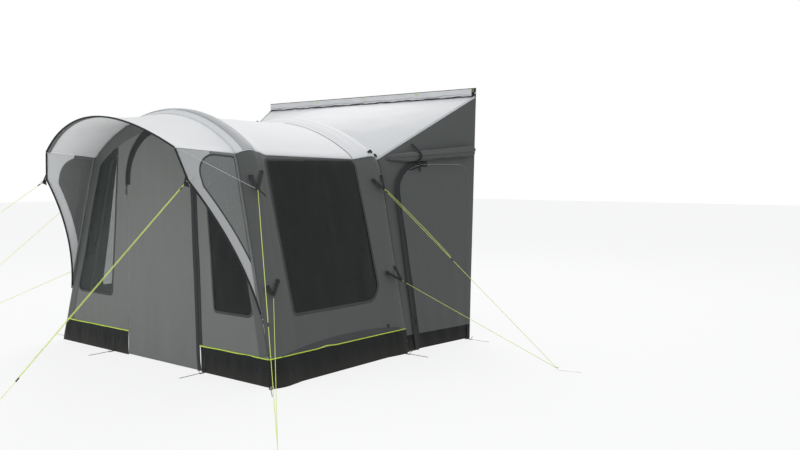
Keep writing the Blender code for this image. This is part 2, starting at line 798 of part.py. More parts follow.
def build_hood(build):
    shares = [step / HOOD_STEPS for step in range(HOOD_STEPS + 1)]
    build.add("hood_panel", grid_panel(both_sides(ROOF_STATIONS), shares, hood_face),
              "light_cloth")
    knee_share = (BROW_CORNER_HEIGHT - BROW_KNEE_HEIGHT) / (BROW_CORNER_HEIGHT - WING_FOOT)
    edge_length = knee_share * (FRONT.point(Station.SEAM).z - WING_FOOT)
    seam_step = SEAM_GAP * (Station.KNEE - Station.SEAM) / edge_length
    places = [Station.SEAM + seam_step] + LEG_STATIONS
    seam = FRONT.point(Station.SEAM).z - WING_TOP_BORDER
    front_top = BROW_CORNER_HEIGHT - WING_TOP_BORDER
    places_down = [LEG_STATIONS[0] + (LEG_STATIONS[-1] - LEG_STATIONS[0]) * step / WING_STEPS
                   for step in range(WING_STEPS + 1)]
    legs = [brow_point(at) for at in places_down]
    edge = [(leg.y + WING_BORDER, leg.z, 0.0) for leg in legs if leg.z > WING_WINDOW_FOOT
            and leg.y + WING_BORDER + WING_WINDOW_TIP < front_y(leg.z) - WING_SEAM_BORDER]
    low = edge[-1][1]
    corners = [
        (front_y(low) - WING_SEAM_BORDER, low, 0.0),
        (front_y(seam) - WING_SEAM_BORDER, seam, 0.0),
        (-BROW_KNEE_REACH + WING_BORDER, front_top, WING_WINDOW_CORNER),
    ] + edge[1:]
    for side, word in ((-1, "left"), (1, "right")):
        window_pair(build, f"wing_{word}", f"wing_window_{word}",
                    lambda: grid_panel(places, shares,
                                       lambda a, b, depth: wing_face(side, a, b, depth)),
                    lambda outline: side_prism(side, outline), corners, "light_cloth")
        stations = LEG_STATIONS[::-1] + ROOF_STATIONS[:0:-1]
        points = [ahead_of_brow(side * at, POLE_RADIUS + POLE_GAP) for at in stations]
        points.append(ahead_of_brow(0.0, POLE_RADIUS + POLE_GAP)
                      + Vector((side * POLE_JOINT_GAP / 2, 0.0, 0.0)))
        build.add_rod(f"brow_pole_{word}", points, POLE_RADIUS, "glass_fibre")


def beam_point(station, behind, radius=0.0, angle=0.0):
    """Point round a beam's middle line, with angle 0 towards the roof it lies under."""
    depth = (CLOTH + BEAM_GAP + BEAM_RADIUS * math.cos(math.pi / BEAM_SIDES)
             - radius * math.cos(angle))
    place = behind + radius * math.sin(angle)
    return shell_point(station, body_row(station, place), depth, ridge_rise(station))


def beam_rings(behind, radius, floor):
    """Rings of a beam from the left foot over the roof to the right foot."""
    stations = both_sides(
        ROOF_STATIONS + EAVE_STATIONS[1:] + [WALL_STATION, Station.GROUND])
    rings = []
    for station in stations:
        ring = []
        for index in range(BEAM_SIDES):
            angle = (index + 0.5) * 2.0 * math.pi / BEAM_SIDES
            point = beam_point(station, behind, radius, angle)
            if abs(station) >= Station.GROUND:
                slide_to(point, station, floor)
            ring.append(point)
        rings.append(ring)
    return rings


def valve_seat(behind):
    """Foot and direction of the valve on the inner facet of a beam's right leg."""
    half = math.pi / BEAM_SIDES
    high = [beam_point(WALL_STATION, behind, BEAM_RADIUS, math.pi + turn) for turn in (-half, half)]
    low = [beam_point(Station.GROUND, behind, BEAM_RADIUS, math.pi + turn)
           for turn in (-half, half)]
    for corner in low:
        slide_to(corner, Station.GROUND, 0.0)
    inward = (high[0] - low[1]).cross(high[1] - low[0]).normalized()
    if inward.x > 0.0:
        inward = -inward
    bottom = low[0].lerp(low[1], 0.5)
    top = high[0].lerp(high[1], 0.5)
    foot = bottom.lerp(top, VALVE_LEVEL / top.z)
    proud = max((corner - foot).dot(inward) for corner in high + low)
    return foot + inward * (VALVE_SEAT + proud), inward


def build_beams(build):
    bladder_radius = BEAM_RADIUS - SLEEVE_WALL - BLADDER_CLEARANCE
    for word, behind in (("front", BEAM_SETBACK), ("rear", BODY_DEPTH - BEAM_SETBACK)):
        sleeve = ring_tube(beam_rings(behind, BEAM_RADIUS, 0.0),
                           beam_rings(behind, BEAM_RADIUS - SLEEVE_WALL, 0.0))
        build.add(f"beam_sleeve_{word}", sleeve, "dark_cloth")
        bladder = ring_tube(beam_rings(behind, bladder_radius, BLADDER_FOOT))
        build.add(f"beam_bladder_{word}", bladder, "bladder_film")
        seat, inward = valve_seat(behind)
        turn = inward.to_track_quat("Z", "Y").to_matrix().to_4x4()
        parts = (("valve", VALVE_RADIUS, VALVE_HEIGHT, 0.0),
                 ("valve_cap", CAP_RADIUS, CAP_HEIGHT, VALVE_HEIGHT + SEAM_GAP))
        for kind, radius, height, lift in parts:
            mesh = bmesh.new()
            bmesh.ops.create_cone(mesh, cap_ends=True, segments=VALVE_STEPS, radius1=radius,
                                  radius2=radius * VALVE_TAPER, depth=height)
            middle = seat + inward * (lift + height / 2)
            bmesh.ops.transform(mesh, matrix=turn, verts=mesh.verts)
            bmesh.ops.translate(mesh, verts=mesh.verts, vec=middle)
            pivot = middle if kind == "valve_cap" else None
            build.add(f"{kind}_{word}", mesh, "moulding", pivot=pivot)


def strip_end(side):
    return STRIP_RIGHT if side > 0 else STRIP_LEFT


def tunnel_roof_face(station, share, depth):
    """Roof of the tunnel, from the rear arch up to the straight strip at the vehicle."""
    front = REAR.point(station)
    front.y = BODY_DEPTH + SEAM_GAP
    across = (front.x / REAR.point(Station.SEAM).x + 1.0) / 2.0
    rear = Vector((STRIP_LEFT + (STRIP_RIGHT - STRIP_LEFT) * across,
                   BODY_DEPTH + TUNNEL_DEPTH, STRIP_FOOT))
    return front.lerp(rear, share) - FRONT.normal(station) * depth


def tunnel_wall_face(side, station, share, depth):
    """Wall of the tunnel, which twists from the leaning rear edge to the vehicle's side."""
    front = REAR.point(side * station)
    front.y = BODY_DEPTH + SEAM_GAP
    foot = Vector((side * TUNNEL_FOOT_HALF, BODY_DEPTH + TUNNEL_DEPTH - TUNNEL_FOOT_SHORT, 0.0))
    top = Vector((strip_end(side), BODY_DEPTH + TUNNEL_DEPTH, STRIP_FOOT))
    rear = foot.lerp(top, front.z / REAR.point(Station.SEAM).z)
    point = front.lerp(rear, share) - FRONT.normal(side * station) * depth
    if station >= Station.GROUND:
        slide_to(point, side * station, 0.0)
    return point


def tunnel_wall_at(side, behind, height):
    """Outer face of the tunnel wall at a distance behind the front wall and a height."""
    def face(station):
        near = tunnel_wall_face(side, station, 0.0, 0.0)
        far = tunnel_wall_face(side, station, 1.0, 0.0)
        return near.lerp(far, (behind - near.y) / (far.y - near.y))

    return face(solve(lambda at: face(at).z, height, Station.SEAM, Station.GROUND))


def tunnel_hinge(side):
    """Foot and direction of the door's hinge line, which clears the door's rear edge outward."""
    behind = BODY_DEPTH + TUNNEL_DOOR_INSET + TUNNEL_DOOR_WIDTH
    edge = [tunnel_wall_at(side, behind, TUNNEL_DOOR_TOP * step / HINGE_STEPS)
            for step in range(HINGE_STEPS + 1)]
    line = (edge[-1] - edge[0]).normalized()
    if line.x * side > 0.0:
        line = Vector((0.0, 0.0, 1.0))
    outward = Vector((line.z, 0.0, -line.x)) * side
    reach = max((point - edge[0]).dot(outward) for point in edge) + HINGE_CLEARANCE
    foot = edge[0] + outward * reach
    return foot - line * foot.z / line.z, line


def build_tunnel(build):
    shares = [step / TUNNEL_STEPS for step in range(TUNNEL_STEPS + 1)]
    build.add("tunnel_roof", grid_panel(both_sides(ROOF_STATIONS), shares, tunnel_roof_face),
              "light_cloth")
    seam_step = SEAM_GAP / (EAVE_RADIUS * (REAR.wall_turn - SEAM_TURN))
    stations = [Station.SEAM + seam_step] + TUNNEL_STATIONS
    near = BODY_DEPTH + TUNNEL_DOOR_INSET
    far = near + TUNNEL_DOOR_WIDTH
    corners = [
        (near, -SKIRT_HEIGHT, 0.0),
        (far, -SKIRT_HEIGHT, 0.0),
        (far, TUNNEL_DOOR_TOP, TUNNEL_DOOR_SMALL_CORNER),
        (near, TUNNEL_DOOR_TOP, TUNNEL_DOOR_CORNER),
    ]
    leaf = [(a, max(b, DOOR_FLOOR_GAP), radius)
            for a, b, radius in inset_corners(corners, SEAM_GAP)]
    for side, word in ((-1, "left"), (1, "right")):
        def face(station, share, depth):
            return tunnel_wall_face(side, station, share, depth)

        wall = build.add(f"tunnel_wall_{word}", grid_panel(stations, shares, face), "side_cloth")
        hole = build.add(f"tunnel_{word}_hole", side_prism(side, round_outline(corners)),
                         "side_cloth")
        build.cut(wall, hole)
        if side > 0:
            rear_foot = tunnel_wall_at(side, TUNNEL_STRAP, SEAM_GAP)
            add_strap(build, wall, "tunnel_wall_right", 0, rear_foot, Vector((side, 0, 0)))
        hinge, _ = tunnel_hinge(side)
        door = build.add(f"tunnel_door_{word}", grid_panel(stations, shares, face), "side_cloth",
                         pivot=hinge)
        core = build.add(f"tunnel_door_{word}_core", side_prism(side, round_outline(leaf)),
                         "side_cloth")
        build.cut(door, core, "INTERSECT")
    build_roll(build)
    build_strip(build)


def build_roll(build):
    """Flap of the right tunnel door, rolled up under the roof's edge."""
    rings = []
    for step in range(ROLL_STEPS + 1):
        share = step / ROLL_STEPS
        behind = BODY_DEPTH + ROLL_INSET + ROLL_LENGTH * share
        height = ROLL_FRONT_LEVEL + (ROLL_REAR_LEVEL - ROLL_FRONT_LEVEL) * share
        fullness = math.sin(math.pi / 2 * min(1.0, share / ROLL_TAPER))
        radius = ROLL_RADIUS * (ROLL_TIP + (1.0 - ROLL_TIP) * fullness)
        wall = tunnel_wall_at(1, behind, height)
        slope = tunnel_wall_at(1, behind, height + ROLL_SEAT) - wall
        outward = Vector((slope.z, 0.0, -slope.x)).normalized()
        centre = wall + outward * (radius * ROLL_LOBE + ROLL_SEAT)
        ring = []
        for index in range(ROLL_STEPS):
            angle = 2.0 * math.pi * index / ROLL_STEPS
            lobe = radius * (1.0 + (ROLL_LOBE - 1.0) * math.cos(3.0 * angle + ROLL_TWIST * share))
            ring.append(centre + Vector((lobe * math.cos(angle), 0.0, lobe * math.sin(angle))))
        rings.append(ring)
    build.add("tunnel_roll_right", ring_tube(rings), "side_cloth")


def build_strip(build):
    """Strip that joins the tunnel to the vehicle's rail, with the bead along its top."""
    count = STRIP_WAVES * 6
    columns = [step / count for step in range(count + 1)]
    rear = BODY_DEPTH + TUNNEL_DEPTH + SEAM_GAP

    def place(across, up, depth):
        wave = STRIP_WAVE * (1.0 - math.cos(2.0 * math.pi * STRIP_WAVES * across))
        return Vector((STRIP_LEFT + (STRIP_RIGHT - STRIP_LEFT) * across,
                       rear + CLOTH - depth + wave * math.sin(math.pi * up),
                       STRIP_FOOT - CLOTH / 2 + (STRIP_HEIGHT + CLOTH / 2) * up))

    build.add("connection_strip", grid_panel(columns, [0.0, 0.25, 0.6, 1.0], place), "light_cloth")
    bead_y = rear + CLOTH / 2
    bead_z = STRIP_FOOT + STRIP_HEIGHT + BEAD_RADIUS + SEAM_GAP
    ends = [Vector((STRIP_LEFT, bead_y, bead_z)), Vector((0.0, bead_y, bead_z)),
            Vector((STRIP_RIGHT, bead_y, bead_z))]
    build.add_rod("rail_bead", ends, BEAD_RADIUS, "dark_cloth")


def slider_block(frame):
    """Zip slider with a bevelled body, standing on the cloth in a frame of axes."""
    mesh = bmesh.new()
    bmesh.ops.create_cube(mesh, size=1.0)
    bmesh.ops.scale(mesh, verts=mesh.verts, vec=(SLIDER_WIDTH, SLIDER_DEPTH, SLIDER_LENGTH))
    bmesh.ops.bevel(mesh, geom=mesh.edges[:], offset=SLIDER_DEPTH / 4, segments=1,
                    affect="EDGES", profile=0.5, material=-1)
    bmesh.ops.transform(mesh, matrix=frame, verts=mesh.verts)
    return mesh


def axes_frame(origin, outward, up):
    """Matrix whose y axis points into the cloth and whose z axis follows the zip."""
    inward = -(outward - up * outward.dot(up)).normalized()
    across = inward.cross(up)
    matrix = Matrix((across, inward, up)).transposed().to_4x4()
    matrix.translation = origin
    return matrix


def build_sliders(build):
    up = Vector((DOOR_LEFT_LEAN, FRONT_RAKE, 1.0)).normalized()
    outward = Vector((0.0, -1.0, FRONT_RAKE)).normalized()
    lift = SLIDER_DEPTH / 2 + SEAM_GAP
    foot = Vector((door_edge(-1, DOOR_SLIDER_LEVEL) - SLIDER_WIDTH,
                   front_y(DOOR_SLIDER_LEVEL), DOOR_SLIDER_LEVEL))
    origin = foot + outward * lift
    build.add("door_zip_slider", slider_block(axes_frame(origin, outward, up)), "moulding",
              pivot=origin)
    behind = BODY_DEPTH + TUNNEL_DOOR_INSET - SLIDER_WIDTH
    low = tunnel_wall_at(1, behind, TUNNEL_SLIDER_LEVEL)
    high = tunnel_wall_at(1, behind, TUNNEL_SLIDER_LEVEL + SLIDER_AIM)
    ahead = tunnel_wall_at(1, behind - SLIDER_LENGTH, TUNNEL_SLIDER_LEVEL)
    up = (high - low).normalized()
    outward = up.cross(ahead - low).normalized()
    if outward.x < 0.0:
        outward = -outward
    origin = low + outward * lift
    build.add("tunnel_zip_slider", slider_block(axes_frame(origin, outward, up)), "moulding",
              pivot=origin)


def seat_rope(centre, away, towards, clearance):
    """End of a rope, moved away from a centre until its rim is just clear of what holds it."""
    def gap(distance):
        end = centre + away * distance
        turn = (towards - end).to_track_quat("Z", "Y").to_matrix()
        rim = []
        for index in range(ROPE_RIM_STEPS):
            angle = 2.0 * math.pi * index / ROPE_RIM_STEPS
            rim.append(end + turn @ Vector((math.cos(angle), math.sin(angle), 0.0))
                       * ROPE_DIAMETER / 2)
        return min(clearance(point) for point in rim)

    return centre + away * solve(gap, ROPE_SEAT, 0.0, ROPE_SEARCH)


def off_line(point, first, second):
    """Distance of a point from the straight piece between two others."""
    along = second - first
    share = (point - first).dot(along) / along.length_squared
    return (point - first - along * max(0.0, min(1.0, share))).length


def guy_start(side, behind, height, target):
    """Start of a guy rope just off the ridge over a beam."""
    station = FRONT.station_at_height(height)
    foot = shell_point(side * station, body_row(station, behind), 0.0, ridge_rise(station))
    normal = FRONT.normal(side * station)
    return seat_rope(foot, normal, target, lambda point: (point - foot).dot(normal))


def knee_start(side, target):
    """Start of a hood rope just off the brow pole's knee."""
    above, knee, below = [ahead_of_brow(side * at, POLE_RADIUS + POLE_GAP)
                          for at in (Station.SEAM, Station.KNEE, Station.WALL)]

    def clearance(point):
        return min(off_line(point, above, knee), off_line(point, knee, below)) - POLE_RADIUS

    return seat_rope(knee, (target - knee).normalized(), target, clearance)


def peg_end(peg, outward, lane, start):
    """Lower end of a guy rope just off the back of its peg's hook."""
    up = Vector((0, 0, 1))
    hook = Vector((*peg, PEG_ROD + PEG_HOOK)) + outward * PEG_ROD
    centre = hook + up.cross(outward) * lane * (ROPE_DIAMETER / 2 + ROPE_SEAT)
    return seat_rope(centre, -outward, start,
                     lambda point: off_line(point, hook - up, hook + up) - PEG_ROD)


def build_guys(build):
    front = BEAM_SETBACK
    rear = BODY_DEPTH - BEAM_SETBACK
    pegs = {peg: Vector((*place, PEG_ROD + PEG_HOOK)) for peg, place in GUY_PEGS.items()}
    ropes = {
        "guy_hood_left": (knee_start(-1, pegs["hood_left"]), "hood_left", 0.0),
        "guy_hood_right": (knee_start(1, pegs["hood_right"]), "hood_right", 0.0),
    }
    for peg, side, behind in (("front_left", -1, front), ("front_right", 1, front),
                              ("rear_right", 1, rear)):
        for word, height, lane in (("upper", UPPER_GUY, 1.0), ("lower", LOWER_GUY, -1.0)):
            start = guy_start(side, behind, height, pegs[peg])
            ropes[f"guy_{peg}_{word}"] = (start, peg, lane)
    middles = {}
    for start, peg, _ in ropes.values():
        middles.setdefault(peg, []).append(start)
    outwards = {}
    for peg, starts in middles.items():
        mean = sum(starts, Vector()) / len(starts)
        away = Vector((*GUY_PEGS[peg], 0.0)) - mean
        outwards[peg] = Vector((away.x, away.y, 0.0)).normalized()
        add_peg(build, f"guy_peg_{peg}", Vector((*GUY_PEGS[peg], 0.0)), outwards[peg], True)
    for name, (start, peg, lane) in ropes.items():
        end = peg_end(GUY_PEGS[peg], outwards[peg], lane, start)
        points = [start.lerp(end, step / ROPE_STEPS) for step in range(ROPE_STEPS + 1)]
        build.add_rod(name, points, ROPE_DIAMETER / 2, "rope", loose=True)
        if name in RUNNERS:
            add_runner(build, name.replace("guy_", "runner_"), start, end, RUNNERS[name])


def add_runner(build, name, start, end, share):
    """Runner threaded on a guy rope, a share of the way down it."""
    middle = start.lerp(end, share)
    turn = (end - start).to_track_quat("Z", "Y").to_matrix()
    bore = ROPE_DIAMETER / 2 + RUNNER_CLEARANCE

    def rings(radius, flatten):
        loops = []
        for along in (-0.5, 0.5):
            loop = []
            for index in range(RUNNER_STEPS):
                angle = 2.0 * math.pi * index / RUNNER_STEPS
                loop.append(middle + turn @ Vector((
                    radius * math.cos(angle), radius * flatten * math.sin(angle),
                    RUNNER_LENGTH * along)))
            loops.append(loop)
        return loops

    shape = ring_tube(rings(RUNNER_RADIUS, RUNNER_FLATNESS), rings(bore, 1.0))
    item = build.add(name, shape, "moulding", pivot=middle)
    build.loose.append(item)


def main():
    clear_scene()
    build = Build()
    build_roof(build)
    build_side_walls(build)
    build_front(build)
    build_hood(build)
    build_beams(build)
    build_tunnel(build)
    build_sliders(build)
    build_guys(build)
    build.settle()


main()
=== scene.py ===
"""Inflatable driveaway awning, with a hooded front and a tunnel to the vehicle.

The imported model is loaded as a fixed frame. Every cloth panel, tape, rope and fitting is
built around it, each sub-assembly by its own class, and main() puts them together.
"""

import logging
import math
from dataclasses import dataclass, field
from enum import Enum
from typing import Callable, Sequence

import bmesh
import bpy
from mathutils import Matrix, Vector, noise


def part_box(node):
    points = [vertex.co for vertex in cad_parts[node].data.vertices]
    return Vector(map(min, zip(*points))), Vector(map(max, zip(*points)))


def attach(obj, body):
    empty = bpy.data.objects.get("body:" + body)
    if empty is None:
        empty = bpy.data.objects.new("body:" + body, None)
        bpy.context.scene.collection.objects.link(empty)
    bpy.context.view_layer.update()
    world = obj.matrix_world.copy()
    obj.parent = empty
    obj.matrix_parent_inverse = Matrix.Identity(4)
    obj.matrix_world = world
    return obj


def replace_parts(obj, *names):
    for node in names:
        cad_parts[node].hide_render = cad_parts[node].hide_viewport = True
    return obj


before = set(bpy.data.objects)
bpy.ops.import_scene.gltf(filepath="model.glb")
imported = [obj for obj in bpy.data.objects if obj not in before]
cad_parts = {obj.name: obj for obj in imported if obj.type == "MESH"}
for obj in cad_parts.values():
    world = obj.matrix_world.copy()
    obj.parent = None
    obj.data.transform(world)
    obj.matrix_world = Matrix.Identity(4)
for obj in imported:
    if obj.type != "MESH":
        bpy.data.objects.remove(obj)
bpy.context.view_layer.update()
LOG = logging.getLogger("awning")

PITCH = Vector((-0.0515022, -0.9346485, 0.0))
"""Place of the middle of the front wall's foot in the row frame."""

UP = Vector((0.0, 0.0, 1.0))
Point = tuple[float, float]
Point3 = tuple[float, float, float]
Place = Callable[[float, float], Vector]

LEAST_CUT = 0.3
# Smallest area of a cut panel, as a share of its full rectangle.
"""Smallest area of a cut panel that may be declared, as a share of its full rectangle."""

TUNNEL_DEPTH = 0.845
TUNNEL_FOOT_HALF = 1.59
TUNNEL_FOOT_SHORT = 0.03
TUNNEL_LEFT = -1.215
TUNNEL_RIGHT = 1.645
STRIP_FOOT = 2.32

TURN = 2.0 * math.pi
FRONT = Vector((0.0, -1.0, 0.0))
NO_SHIFT = Vector()
"""Shift of a piece that is made in the row frame."""

CLOTH_CELL = 0.014
"""Size of a panel's mesh."""

CLOTH_WALL = 0.0012
FILM_WALL = 0.0006
"""Thickness of cloth and of window film."""

PIPING_RADIUS = 0.0032
SKIRT_PIPING_RADIUS = 0.0045

SEAM_GAP = 0.0006
"""Gap between neighbouring panels."""

LINE_STEP = 0.03
"""Longest step along a traced outline."""

PER_STATION = 100
"""Steps of an arch's measured line in one station."""

HALVINGS = 28
"""Steps of a search by halving."""

ROLL_LENGTH = 0.72
ROLL_RADIUS = 0.048
ROLL_TIE = 0.30
"""Share of the rolled door's length at which its strap lies."""


class Side(Enum):
    """The two sides of the awning, seen from the front."""

    LEFT = -1
    RIGHT = 1

    @property
    def word(self) -> str:
        """Name of the side in the names of pieces."""
        return self.name.lower()


class Body(Enum):
    """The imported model's bodies that pieces ride on."""

    AWNING = "awning"
    FRONT_DOOR = "front_door"
    TUNNEL_DOOR_LEFT = "tunnel_door_left"
    TUNNEL_DOOR_RIGHT = "tunnel_door_right"


class Graph:
    """Nodes of one material or world, made by one method."""

    def __init__(self, owner: bpy.types.Material | bpy.types.World) -> None:
        """Empties the owner's nodes.

        Args:
            owner: The material or world that the nodes belong to.
        """
        owner.use_nodes = True
        self.tree = owner.node_tree
        self.tree.nodes.clear()

    def node(self, kind: str, settings: dict | None = None, **sockets: object) -> bpy.types.Node:
        """Adds a node.

        Args:
            kind: Node type without its ShaderNode prefix.
            settings: Properties that are set before the sockets. The key "stops" holds the
                positions and colours of a colour ramp.
            **sockets: Values or wires by input name, with _ for a space, or in_0, in_1 by order.

        Returns:
            The new node.
        """
        made = self.tree.nodes.new("ShaderNode" + kind)
        for key, value in (settings or {}).items():
            if key == "stops":
                ramp = made.color_ramp
                while len(ramp.elements) < len(value):
                    ramp.elements.new(0.5)
                for element, (position, colour) in zip(ramp.elements, value):
                    element.position = position
                    element.color = (*colour, 1.0)
            else:
                setattr(made, key, value)
        for key, value in sockets.items():
            spot = int(key[3:]) if key.startswith("in_") else key.replace("_", " ")
            socket = made.inputs[spot]
            if isinstance(value, Wire):
                self.tree.links.new(value.socket, socket)
            elif isinstance(value, bpy.types.NodeSocket):
                self.tree.links.new(value, socket)
            else:
                socket.default_value = value
        return made

    def wire(self, kind: str, output: str | int = 0, settings: dict | None = None,
             **sockets: object) -> "Wire":
        """Adds a node and gives one of its outputs.

        Args:
            kind: Node type without its ShaderNode prefix.
            output: Name or number of the output.
            settings: Properties of the node.
            **sockets: Values or wires of its inputs.

        Returns:
            The output as a wire.
        """
        return Wire(self, self.node(kind, settings, **sockets).outputs[output])

    def mix(self, share: "Wire | float", low: object, high: object) -> "Wire":
        """Mixes two colours.

        Args:
            share: 0 for the first colour to 1 for the second.
            low: First colour or wire.
            high: Second colour or wire.

        Returns:
            The mixed colour.
        """
        return self.wire("Mix", 2, {"data_type": "RGBA"}, in_0=share, in_6=low, in_7=high)

    def noise(self, scale: float, detail: float, **more: float) -> "Wire":
        """Noise through the piece's own space."""
        return self.wire("TexNoise", Vector=self.wire("TexCoord", "Object"), Scale=scale,
                         Detail=detail, **more)

    def cloth_map(self) -> tuple["Wire", "Wire"]:
        """The two directions of the piece's own map, in metres."""
        parts = self.node("SeparateXYZ", Vector=self.wire("TexCoord", "UV"))
        return Wire(self, parts.outputs[0]), Wire(self, parts.outputs[1])

    def bump(self, strength: float, distance: float, height: "Wire", **more: "Wire") -> "Wire":
        """Normal that a height gives."""
        return self.wire("Bump", Strength=strength, Distance=distance, Height=height, **more)

    def finish(self, surface: bpy.types.Node, target: str = "Material") -> None:
        """Wires a surface or background to the output."""
        self.node(f"Output{target}", Surface=surface.outputs[0])

    def seen(self) -> "Wire":
        """1 where something is looked at, also in gloss or through glass, and 0 for light."""
        path = self.node("LightPath")
        camera, gloss, glass = (path.outputs[f"Is {kind} Ray"]
                                for kind in ("Camera", "Glossy", "Transmission"))
        return Wire(self, camera).maths("MAXIMUM", gloss).maths("MAXIMUM", glass)


@dataclass(frozen=True)
class Wire:
    """An output of a node, with which shader maths reads like Python."""

    graph: Graph
    socket: bpy.types.NodeSocket

    def maths(self, operation: str, *others: object) -> "Wire":
        """Puts this value and others through a Math node.

        Args:
            operation: The Math node's operation.
            *others: The other operands.

        Returns:
            The result.
        """
        values = {f"in_{index}": value for index, value in enumerate((self, *others))}
        return self.graph.wire("Math", 0, {"operation": operation}, **values)

    def __add__(self, other: object) -> "Wire":
        """This value plus another."""
        return self.maths("ADD", other)

    def __sub__(self, other: object) -> "Wire":
        """This value less another."""
        return self.maths("SUBTRACT", other)

    def __rsub__(self, other: float) -> "Wire":
        """A number less this value."""
        return (self * -1.0) + other

    def __mul__(self, other: object) -> "Wire":
        """This value times another."""
        return self.maths("MULTIPLY", other)

    __radd__ = __add__
    __rmul__ = __mul__

    def wave(self) -> "Wire":
        """Sine of this value."""
        return self.maths("SINE")

    def size(self) -> "Wire":
        """This value without its sign."""
        return self.maths("ABSOLUTE")

    def above(self, level: float, soft: float) -> "Wire":
        """A soft step.

        Args:
            level: Value at the middle of the step.
            soft: Width of the step.

        Returns:
            0 below the level, 1 above it.
        """
        return self.graph.wire("MapRange", 0, {"interpolation_type": "SMOOTHSTEP"},
                               Value=self, From_Min=level - soft / 2, From_Max=level + soft / 2)


@dataclass(frozen=True)
class Finish:
    """One finish: a Principled surface whose colour, roughness and bump come from patterns."""

    name: str
    slot: str
    colour: tuple[float, float, float]
    roughness: float

    def fixed(self) -> dict[str, object]:
        """Values that are the same all over, by socket name."""
        return {"Specular_IOR_Level": 0.2}

    def vary(self, graph: Graph) -> dict[str, object]:
        """Makes the patterns.

        Args:
            graph: Where the nodes go.

        Returns:
            Wires by socket name.
        """
        raise NotImplementedError

    def make(self) -> bpy.types.Material:
        """The finish's material, made once."""
        found = bpy.data.materials.get(self.name)
        if found is not None:
            return found
        material = bpy.data.materials.new(self.name)
        graph = Graph(material)
        graph.finish(graph.node("BsdfPrincipled", **self.fixed(), **self.vary(graph)))
        return material

    def tint(self, factor: float) -> tuple[float, float, float, float]:
        """The finish's colour, lighter or darker by a factor."""
        return (*(min(1.0, part * factor) for part in self.colour), 1.0)


@dataclass(frozen=True)
class Cloth(Finish):
    """Coated tent cloth, woven along the panel's own map in metres."""

    pitch: float = 0.0016
    relief: float = 0.25
    crinkle: float = 0.0025
    soil: float = 0.0
    sheen: float = 0.15
    gloss: float = 0.3

    def fixed(self) -> dict[str, object]:
        """Sheen and dullness of a coated weave."""
        return {"Sheen_Weight": self.sheen, "Sheen_Roughness": 0.45,
                "Specular_IOR_Level": self.gloss}

    def vary(self, graph: Graph) -> dict[str, object]:
        """Weave, soft creases, uneven dye, and soil near the ground."""
        across, along = graph.cloth_map()
        turn = TURN / self.pitch
        weave = (across * turn).wave() * (along * turn).wave()
        blotch = graph.noise(3.1, 4.0, Roughness=0.6)
        fine = graph.noise(190.0, 2.0)
        crease = graph.noise(11.0, 5.0, Roughness=0.55, Distortion=0.6)
        colour = graph.mix(blotch * 0.7 + fine * 0.3, self.tint(0.90), self.tint(1.08))
        if self.soil > 0.0:
            space = graph.node("SeparateXYZ", Vector=graph.wire("TexCoord", "Object"))
            level = Wire(graph, space.outputs[2])
            low = (1.0 - (level + blotch * 0.12).above(0.12, 0.18)) * self.soil
            colour = graph.mix(low, colour, (0.17, 0.15, 0.12, 1.0))
        normal = graph.bump(self.relief, 1.0, weave * 0.00008 + fine * 0.00006,
                            Normal=graph.bump(0.6, self.crinkle, crease))
        return {"Base_Color": colour, "Roughness": blotch * 0.12 + (self.roughness - 0.06),
                "Normal": normal}


@dataclass(frozen=True)
class Film(Finish):
    """Tinted clear window film, with slow ripples and faint scuffs."""

    cover: float = 0.75

    def fixed(self) -> dict[str, object]:
        """Gloss of clear film."""
        return {"Specular_IOR_Level": 0.13}

    def vary(self, graph: Graph) -> dict[str, object]:
        """Ripples, scuffs and how much the film hides."""
        ripple = graph.noise(5.0, 2.0, Distortion=0.8)
        worn = graph.noise(46.0, 6.0, Roughness=0.75).above(0.62, 0.16)
        return {"Base_Color": graph.mix(worn * 0.35, self.tint(0.92), self.tint(1.6)),
                "Roughness": worn * 0.2 + self.roughness, "Alpha": ripple * 0.06 + self.cover,
                "Normal": graph.bump(0.5, 0.01, ripple)}


@dataclass(frozen=True)
class Webbing(Finish):
    """Woven tape, webbing and piping, with a rib across the run of the tape."""

    rib: float = 0.0022

    def vary(self, graph: Graph) -> dict[str, object]:
        """Ribs along the tape's own map, and uneven dye."""
        across, along = graph.cloth_map()
        turn = TURN / self.rib
        ribs = (along * turn).wave() + (across * (turn * 1.7)).wave() * 0.5
        blotch = graph.noise(38.0, 4.0, Roughness=0.6)
        return {"Base_Color": graph.mix(blotch, self.tint(0.78), self.tint(1.16)),
                "Roughness": blotch * 0.14 + (self.roughness - 0.07),
                "Normal": graph.bump(0.5, 0.0004, ribs)}


@dataclass(frozen=True)
class ZipTape(Finish):
    """Zip tape, with the coil's teeth down its middle line and a stitched edge."""

    teeth: float = 0.0035
    coil: float = 0.0035
    stitch: float = 0.0045
    seam_at: float = 0.011

    def vary(self, graph: Graph) -> dict[str, object]:
        """Teeth, and the stitched edges of the tape."""
        across, along = graph.cloth_map()
        middle = 1.0 - across.size().above(self.coil, 0.001)
        teeth = (along * (TURN / self.teeth)).wave() * middle
        stitches = (along * (TURN / self.stitch)).wave().above(0.1, 0.5)
        seam = (1.0 - (across.size() - self.seam_at).size().above(0.0007, 0.0006)) * stitches
        blotch = graph.noise(60.0, 3.0)
        colour = graph.mix(blotch, self.tint(0.8), self.tint(1.2))
        colour = graph.mix(seam * 0.3, colour, self.tint(2.2))
        colour = graph.mix(middle * 0.6, colour, self.tint(0.45))
        height = teeth * 0.0005 + middle * 0.0008 + seam * 0.0003
        return {"Base_Color": colour, "Roughness": blotch * 0.1 + (self.roughness - 0.05),
                "Normal": graph.bump(0.6, 1.0, height)}


